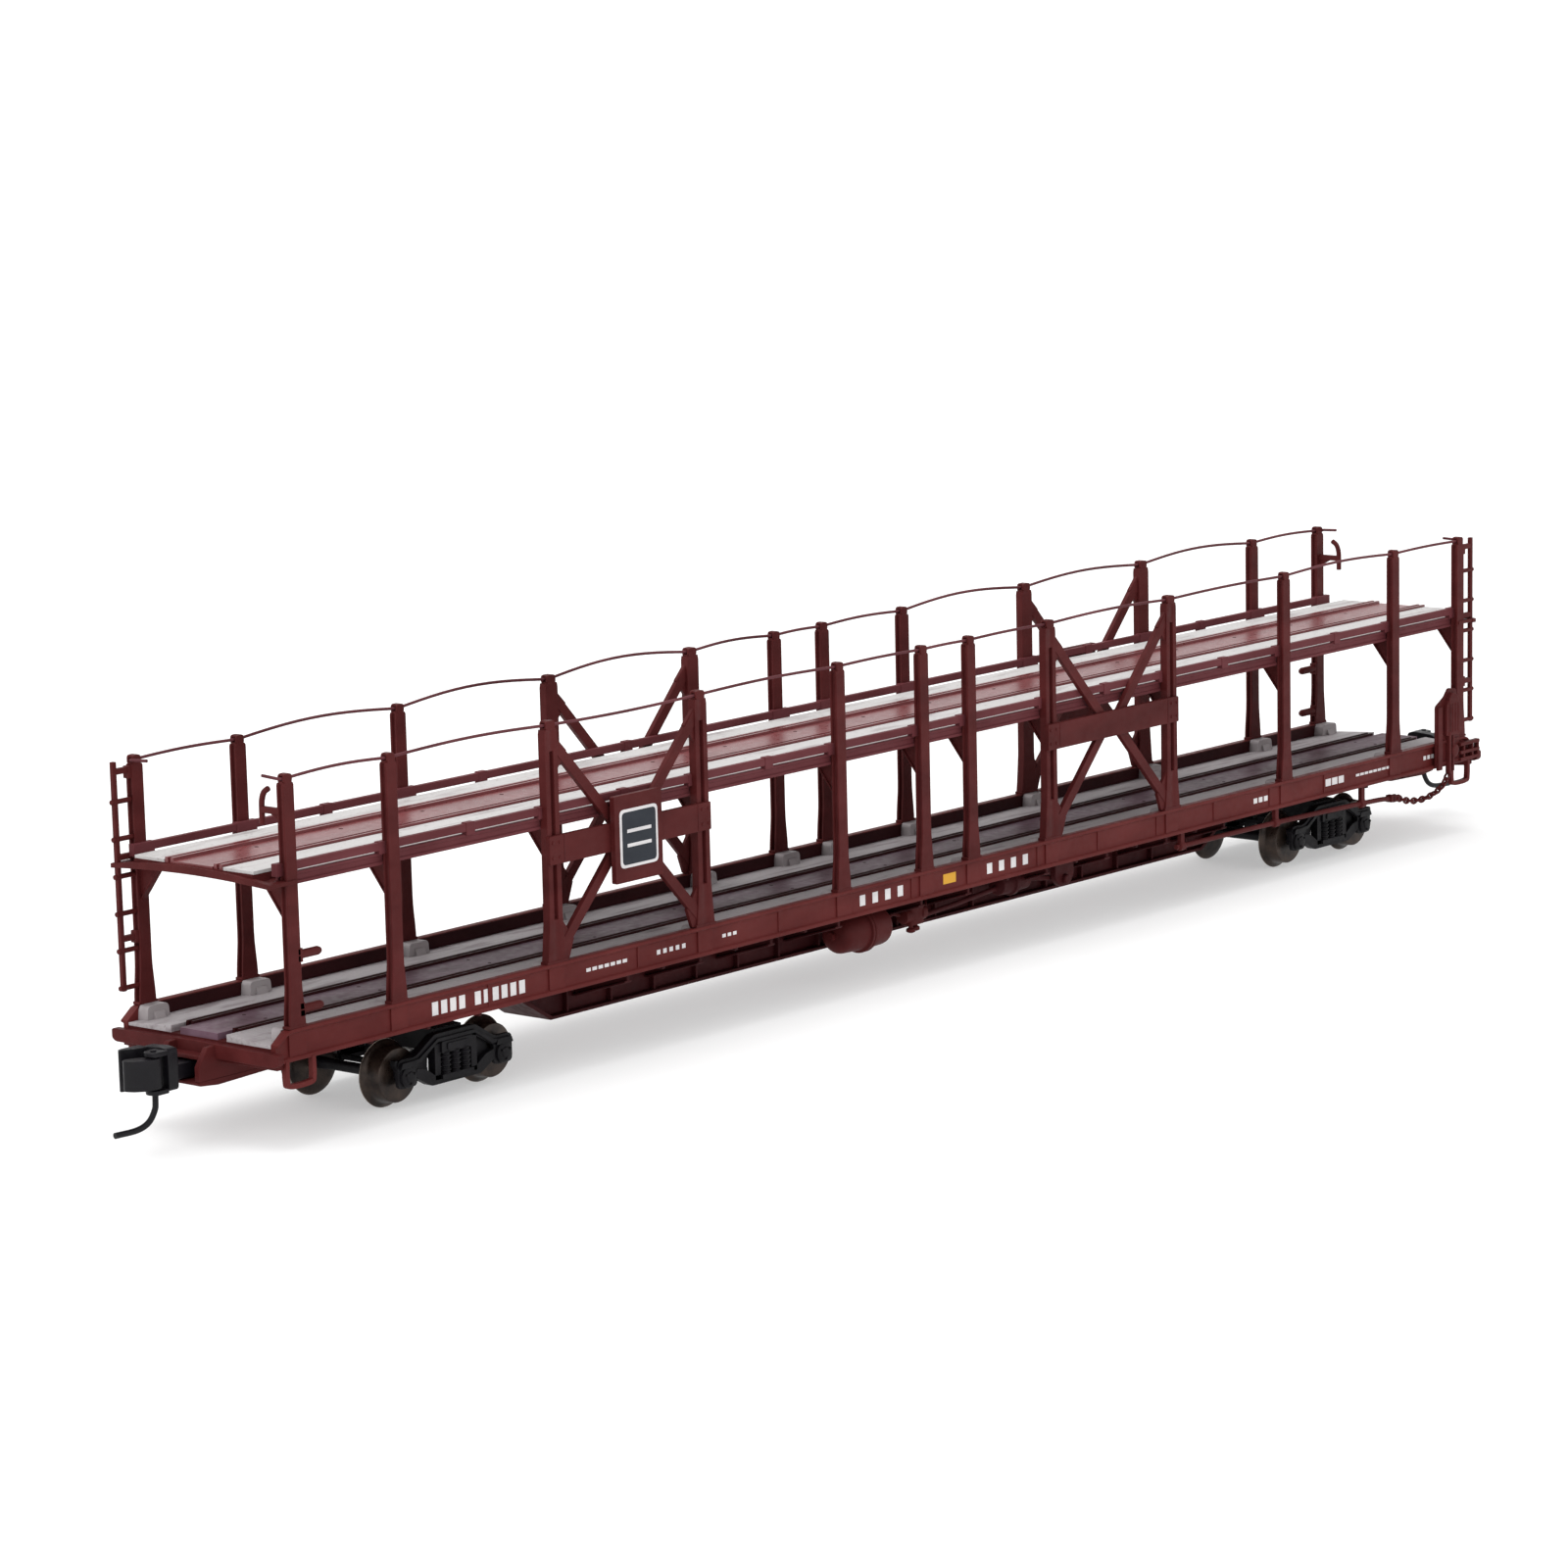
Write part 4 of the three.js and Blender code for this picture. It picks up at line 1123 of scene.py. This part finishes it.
@dataclass
class Truck:
    """A two-axle truck at end b or a: cast side frames on a bolster, with two wheelsets.

    Attributes:
        end: The end of the car it carries.
        half_base: Axle from the truck centre.
        flange: Wheel radius over the flange.
    """

    end: End
    half_base: float = 5.6
    flange: float = 2.8

    def side_frame(self) -> list[Shell]:
        """One cast side frame on the right: chords, columns, bearing caps, springs, bolster end."""
        x = TRUCK_X
        cast, lug = (-6.75, -5.95), (-6.6, -6.05)

        def bit(outline: list, y: tuple, radius: float = 0.25) -> Shell:
            """An outline about the truck centre, carried between two Y limits."""
            return slab([(x + u, z) for u, z in outline], radius, y)

        shells = [
            bit([(-6.45, 2.6), (-6.5, 3.7), (-5.9, 4.15), (-4.6, 4.35), (-2.4, 5.7), (2.4, 5.7),
                 (4.6, 4.35), (5.9, 4.15), (6.5, 3.7), (6.45, 2.6), (5.8, 3.5), (4.5, 3.6),
                 (2.2, 4.85), (-2.2, 4.85), (-4.5, 3.6), (-5.8, 3.5)], cast),
            bit([(-4.6, 2.5), (-2.9, 1.55), (2.9, 1.55), (4.6, 2.5), (4.6, 3.3), (3.5, 3.05),
                 (2.4, 2.3), (-2.4, 2.3), (-3.5, 3.05), (-4.6, 3.3)], cast),
            bit(rectangle((-2.45, -1.8), (1.9, 5.2)), cast, 0.1),
            bit(rectangle((1.8, 2.45), (1.9, 5.2)), cast, 0.1),
            bit([(-6.2, 4.05), (-4.4, 4.1), (-2.2, 5.35), (2.2, 5.35), (4.4, 4.1), (6.2, 4.05),
                 (6.2, 3.8), (4.2, 3.8), (2.2, 5.05), (-2.2, 5.05), (-4.2, 3.8), (-6.2, 3.8)],
                (-6.92, -6.7), 0.1),
            bit(rectangle((-1.8, 1.8), (4.05, 5.0)), (-6.95, -5.9), 0.15),
            bit(rectangle((-1.2, 1.2), (4.25, 4.8)), (-7.05, -6.9), 0.15),
            bit(rectangle((-1.85, 1.85), (1.9, 2.3)), (-7.0, -5.95), 0.1),
            bit([(5.7, 3.2), (6.5, 3.3), (6.95, 3.9), (6.85, 4.35), (6.5, 4.2), (6.2, 3.9)],
                lug, 0.15),
            bit([(-5.7, 3.2), (-6.5, 3.3), (-6.75, 3.8), (-6.6, 4.1), (-6.2, 3.9)], lug, 0.15)]
        z = np.linspace(2.25, 4.1, 34)
        coil = np.stack([z, 0.43 + 0.07 * np.cos(2 * math.pi * (z - 2.25) / 0.37)], -1)
        shells += [turned_bar(coil, (x + dx, -6.6), Axis.Z, 16) for dx in (-1.15, 0.0, 1.15)]
        for s in (-1, 1):
            ax = s * self.half_base
            shells += [
                bit(rectangle(about(ax, 1.1), (1.9, 4.3)), (-6.7, -6.35), 0.5),
                turned_bar([(-7.15, 0.25), (-7.12, 0.42), (-7.02, 0.5), (-7.0, 0.72), (-6.9, 0.85),
                            (-6.6, 0.9), (-6.3, 0.9)], (x + ax, self.flange), Axis.Y, 28),
                bit([(ax - 1.0, 3.55), (ax + 1.0, 3.55), (ax + 0.8, 4.05), (ax - 0.8, 4.05)],
                    (-6.98, -6.6), 0.12),
                bit([(s * 2.9, 2.1), (s * 4.4, 3.0), (s * 4.1, 3.9), (s * 2.7, 4.6)],
                    (-6.2, -6.05), 0.1)]
            shells += [turned_bar([(-7.2, 0.06), (-7.18, 0.12), (-7.05, 0.12)],
                                  (x + ax + 0.52 * math.cos(q), self.flange + 0.52 * math.sin(q)),
                                  Axis.Y, 8) for q in (0.5, 2.6, 4.7)]
        return shells

    def cross_work(self) -> list[Shell]:
        """Bolster with its centre bowl, and a brake beam beside each wheelset."""
        x = TRUCK_X
        bolster = prism([(-6.0, 4.6), (-4.5, 4.0), (4.5, 4.0), (6.0, 4.6), (6.0, 5.9),
                         (2.6, 6.1), (-2.6, 6.1), (-6.0, 5.9)], about(x, 1.5), Axis.X)
        bowl = turned_bar([(5.9, 2.4), (6.3, 2.35), (6.35, 2.2)], (x, 0), Axis.Z, 40)
        beams = []
        for s in (-1, 1):
            strip = sorted((x + s * 1.9, x + s * 2.4))
            beams += [block(about(x + s * 2.15, 0.2), (-5.4, 5.4), (2.3, 2.75)),
                      block(strip, (-0.4, 0.4), (2.3, 4.1))]
            shoe = [(x + s * 2.2, 1.7), (x + s * 2.62, 1.7), (x + s * 2.5, 2.6),
                    (x + s * 2.72, 3.9), (x + s * 2.2, 3.9)]
            beams += [slab(shoe, 0.1, about(y, 0.55)) for y in (-4.7, 4.7)]
        return [bolster, bowl, *beams]

    def axle_x(self, number: int) -> float:
        """Where an axle lies along the car; number 1 is the outer one."""
        sign = 1 if self.end is End.B else -1
        return sign * (TRUCK_X + (self.half_base if number == 1 else -self.half_base))

    def wheel(self, shop: Workshop, number: int, side: Side) -> None:
        """Makes one wheel: flange and coned tread, dished face and rubbed rim, all turned."""
        f = self.flange
        tread = [(3.8, 0.6), (3.8, 2.2), (3.84, 2.66), (3.92, f - 0.03), (4.02, f), (4.12, f - 0.06),
                 (4.22, 2.56), (4.32, 2.42), (4.5, 2.33), (5.5, 2.25), (5.58, 2.18), (5.6, 2.05)]
        face = [(5.2, 2.0), (5.6, 2.06), (5.58, 1.92), (5.34, 1.82), (5.24, 1.5), (5.26, 1.12),
                (5.42, 0.92), (5.56, 0.84), (5.58, 0.6)]
        rim = [(3.99, f - 0.05), (4.0, f + 0.012), (4.04, f + 0.012), (4.05, f - 0.05)]
        s = 1 if side is Side.LEFT else -1
        coats = [(finish, [turned_bar([(s * t, r) for t, r in profile],
                                      (self.axle_x(number), f), Axis.Y, 64)])
                 for finish, profile in ((WHEEL, tread), (WHEEL_FACE, face), (RIM, rim))]
        tag = f"{self.end.value}{number}"
        shop.piece(f"wheel_{tag}_{side.value}", coats, "wheel_metal", body=f"wheelset_{tag}")

    def axle(self, shop: Workshop, number: int) -> None:
        """Makes one axle with its raised wheel seats and end journals."""
        half = np.array([(6.3, 0.34), (5.75, 0.36), (5.72, 0.5), (5.4, 0.56), (3.6, 0.58),
                         (3.3, 0.52), (1.4, 0.46)])
        profile = np.concatenate([half, half[::-1] * [-1, 1]])
        bar = turned_bar(profile, (self.axle_x(number), self.flange), Axis.Y, 24)
        tag = f"{self.end.value}{number}"
        shop.piece(f"axle_{tag}", [(BLACK_AND_SLOT_SHADE, [bar])], "axle_black", body=f"wheelset_{tag}")

    def build(self, shop: Workshop) -> None:
        """Makes the truck, and the king pin that holds it."""
        tag, far = self.end.value, self.end is End.A
        frame = self.side_frame()
        shells = [*frame, *(shell.times(1, -1) for shell in frame), *self.cross_work()]
        shop.piece(f"truck_frame_{tag}", [(BLACK_AND_SLOT_SHADE, shells)], "truck_black", 0.06, far,
                   f"truck_{tag}")
        pin = turned_bar([(3.2, 1.1), (3.25, 1.5), (3.6, 1.6), (3.74, 1.55), (3.76, 1.0),
                          (6.4, 1.0)], (TRUCK_X, 0), Axis.Z, 36)
        # A thin black cross on the pin's head stands in for its slot: painted shade.
        slot_shade = [block(about(TRUCK_X, u), (-v, v), (3.16, 3.22)) for u, v in ((0.18, 1.0), (1.0, 0.18))]
        shop.piece(f"king_pin_{tag}", [(STEEL, [pin]), (BLACK_AND_SLOT_SHADE, slot_shade)], "steel", 0.0, far)
        for number in (1, 2):
            self.axle(shop, number)
            for side in Side:
                self.wheel(shop, number, side)


# ---- couplers ----


@dataclass
class Coupler:
    """A knuckle coupler with its trip pin and the lid of its box.

    Attributes:
        end: The end of the car it is on.
        pin_x: Knuckle pin along the car.
        pin_y: Knuckle pin across the car.
    """

    end: End
    pin_x: float = 90.1
    pin_y: float = 1.05

    def body(self) -> list[Shell]:
        """Shank with a round eye, the head's back block, guard arm and two ears."""
        eye = turned_bar([(5.45, 1.12), (6.7, 1.12)], (COUPLER_X, 0), Axis.Z, 32)
        shank = slab(rectangle((COUPLER_X, 88.5), (-0.7, 0.7)), 0.1, (5.47, 6.68), Axis.Z)
        back = slab([(-1.7, 5.0), (1.75, 5.0), (1.75, 8.3), (0.9, 8.45), (-1.2, 8.3), (-1.7, 7.9)],
                    0.35, (88.15, 89.2), Axis.X)
        collar = slab(rectangle((-1.1, 1.1), (5.2, 7.4)), 0.3, (87.5, 88.3), Axis.X)
        arm = slab([(89.0, -1.7), (90.6, -1.85), (91.2, -1.8), (91.4, -1.45), (90.8, -1.2),
                    (90.2, -0.8), (89.0, -0.5)], 0.25, (4.95, 8.3), Axis.Z, 4)
        ears = [slab([(89.1, 0.3), (90.5, 0.35), (90.85, 0.9), (90.6, 1.75), (89.1, 1.75)], 0.3, z,
                     Axis.Z, 4) for z in ((4.9, 5.28), (7.92, 8.3))]
        return [eye, shank, back, collar, arm, *ears]

    def knuckle(self) -> list[Shell]:
        """The knuckle: one rounded hook outline carried upwards, with a hub round the pin."""
        x, y = self.pin_x, self.pin_y
        hook = slab([(x - 0.5, y - 0.5), (x + 0.25, y - 0.62), (91.15, -0.15), (92.0, -0.42),
                     (92.45, 0.05), (92.1, 0.9), (91.2, 1.6), (x + 0.1, y + 0.7),
                     (x - 0.5, y + 0.45)], 0.3, (5.38, 7.82), Axis.Z, 4)
        hub = turned_bar([(5.32, 0.5), (5.36, 0.6), (7.84, 0.6), (7.88, 0.5)], (x, y), Axis.Z, 24)
        return [hook, hub]

    def trip_pin(self) -> Shell:
        """The pin: straight down through the head, then swept forward."""
        x, y = self.pin_x, self.pin_y
        path = smooth_path([(x, y, 8.42), (x, y, 6.4), (x, y, 4.4), (x + 0.12, y - 0.03, 3.6),
                            (x + 0.75, y - 0.12, 2.75), (x + 1.9, y - 0.25, 2.35),
                            (x + 4.0, y - 0.45, 2.3)], 60)
        return rod(path, 0.25, 16, (0.2, 0.97, 0.1))

    def build(self, shop: Workshop) -> None:
        """Makes the coupler and the lid of its box."""
        tag, far, black = self.end.value, self.end is End.A, "coupler_black"
        lid = slab([(BOX_X, 5.3), (78.9, 4.98), (84.6, 4.8), (86.6, 5.0), (86.6, 5.3)], 0.12,
                   (-2.4, 2.4))
        screw = turned_bar([(4.74, 0.5), (4.78, 0.62), (5.0, 0.65)], (COUPLER_X, 0), Axis.Z, 24)
        # A thin black bar on the screw's head stands in for its slot: painted shade.
        slot = block(about(COUPLER_X, 0.5), (-0.1, 0.1), (4.72, 4.76))
        shop.piece(f"coupler_lid_{tag}", [(OXIDE, [lid]), (STEEL, [screw]), (BLACK_AND_SLOT_SHADE, [slot])],
                   "frame_oxide", 0.05, far)
        shop.piece(f"coupler_body_{tag}", [(CHARCOAL, self.body())], black, 0.07, far,
                   f"coupler_{tag}")
        shop.piece(f"knuckle_{tag}", [(CHARCOAL, self.knuckle())], black, 0.07, far,
                   f"knuckle_arm_{tag}")
        shop.piece(f"trip_pin_{tag}", [(CHARCOAL, [self.trip_pin()])], black, 0.0, far,
                   f"knuckle_arm_{tag}")


# ---- studio ----


@dataclass
class Studio:
    """Plain pale floor, soft light and the camera.

    Attributes:
        eye: Camera place in millimetres.
        azimuth: Degrees round from looking along +Y.
        elevation: Degrees above the floor.
        roll: Degrees of roll.
        lens: Focal length for a 36 mm wide sensor.
        shift: Sideways and upward lens shift.
        reach: Half the floor's width in metres.
    """

    eye: tuple = (-377.74, -308.05, 99.43)
    azimuth: float = -49.30
    elevation: float = 11.816
    roll: float = -1.468
    lens: float = 126.97
    shift: tuple = (0.0310, 0.1318)
    reach: float = 9.0

    def camera(self) -> None:
        """Places the camera: its back axis is (sin a cos e, -cos a cos e, sin e)."""
        a, e, r = (math.radians(v) for v in (self.azimuth, self.elevation, self.roll))
        back = Vector((math.sin(a) * math.cos(e), -math.cos(a) * math.cos(e), math.sin(e)))
        right = Vector((0, 0, 1)).cross(back).normalized()
        up = back.cross(right)
        tilted = math.cos(r) * right + math.sin(r) * up
        up = -math.sin(r) * right + math.cos(r) * up
        data = bpy.data.cameras.new("camera")
        data.lens = self.lens
        data.sensor_width = 36.0
        data.shift_x, data.shift_y = self.shift
        data.clip_start, data.clip_end = 0.01, 50.0
        camera = put("camera", data)
        camera.matrix_world = Matrix.Translation(Vector(self.eye) * MM) @ Matrix(
            (tilted, up, back)).transposed().to_4x4()
        bpy.context.scene.camera = camera

    def floor(self) -> None:
        """Lays a wide pale floor with a barely uneven tone."""
        mesh = bpy.data.meshes.new("floor")
        limits = (-self.reach, self.reach)
        mesh.from_pydata([(x, y, 0.0) for x, y in rectangle(limits, limits)], [], [[0, 1, 2, 3]])
        n = Nodes("floor_paper")
        n.feed("Base Color", n.ramp(n.noise(6.0, 2.0), [(0.3, (0.56,) * 3), (0.7, (0.60,) * 3)]))
        n.shade(Emission_Color=(1.0, 1.0, 1.0, 1.0), Emission_Strength=0.42, Roughness=0.9,
                Specular_IOR_Level=0.1)
        mesh.materials.append(n.material)
        put("floor", mesh)

    def lamp(self, name: str, spot: tuple, aim: tuple, size: float, power: float) -> None:
        """Hangs one square soft lamp, aimed at a point; sizes in metres."""
        data = bpy.data.lights.new(name, "AREA")
        data.shape = "SQUARE"
        data.size = size
        data.energy = power
        lamp = put(name, data)
        lamp.location = spot
        lamp.rotation_euler = (Vector(aim) - Vector(spot)).to_track_quat("-Z", "Y").to_euler()

    def build(self) -> None:
        """Sets the camera, floor, lamps and the pale surround."""
        self.camera()
        self.floor()
        self.lamp("top_softbox", (-0.05, 0.15, 0.75), (0, 0, 0.01), 0.6, 2.2)
        self.lamp("left_softbox", (-0.75, -0.25, 0.45), (0, 0, 0.02), 0.5, 1.3)
        self.lamp("front_fill", (0.15, -0.85, 0.4), (0, 0, 0.015), 0.6, 0.6)
        data = bpy.data.lights.new("sky_panel", "SUN")
        data.energy = 0.55
        data.angle = math.radians(70)
        put("sky_panel", data).rotation_euler = (math.radians(-14), math.radians(-10), 0.0)
        world = bpy.data.worlds.new("surround")
        world.use_nodes = True
        surround = world.node_tree.nodes["Background"].inputs
        surround["Color"].default_value = (1, 1, 1, 1)
        surround["Strength"].default_value = 0.98
        bpy.context.scene.world = world
        bpy.context.scene.view_settings.view_transform = "Standard"


def main() -> None:
    """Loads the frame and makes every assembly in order."""
    logging.basicConfig(level=logging.INFO, format="%(name)s: %(message)s")
    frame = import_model()
    shop = Workshop()
    Studio().build()
    Underframe().build(shop)
    LowerDeck().build(shop)
    for side in Side:
        SideSill().build(shop, side)
        UpperBeam().build(shop, side)
    UpperDeck().build(shop)
    for side in Side:
        Rack(side).build(shop)
    BrakeGear().build(shop)
    for end in End:
        Truck(end).build(shop)
    for end in End:
        Coupler(end).build(shop)
    weight = frame["nodes"]["ballast_weight"]
    weight.data.materials.clear()
    weight.data.materials.append(shop.material(STEEL))
    LOG.info("ballast_weight: steel finish")
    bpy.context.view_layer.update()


if __name__ == "__main__":
    main()
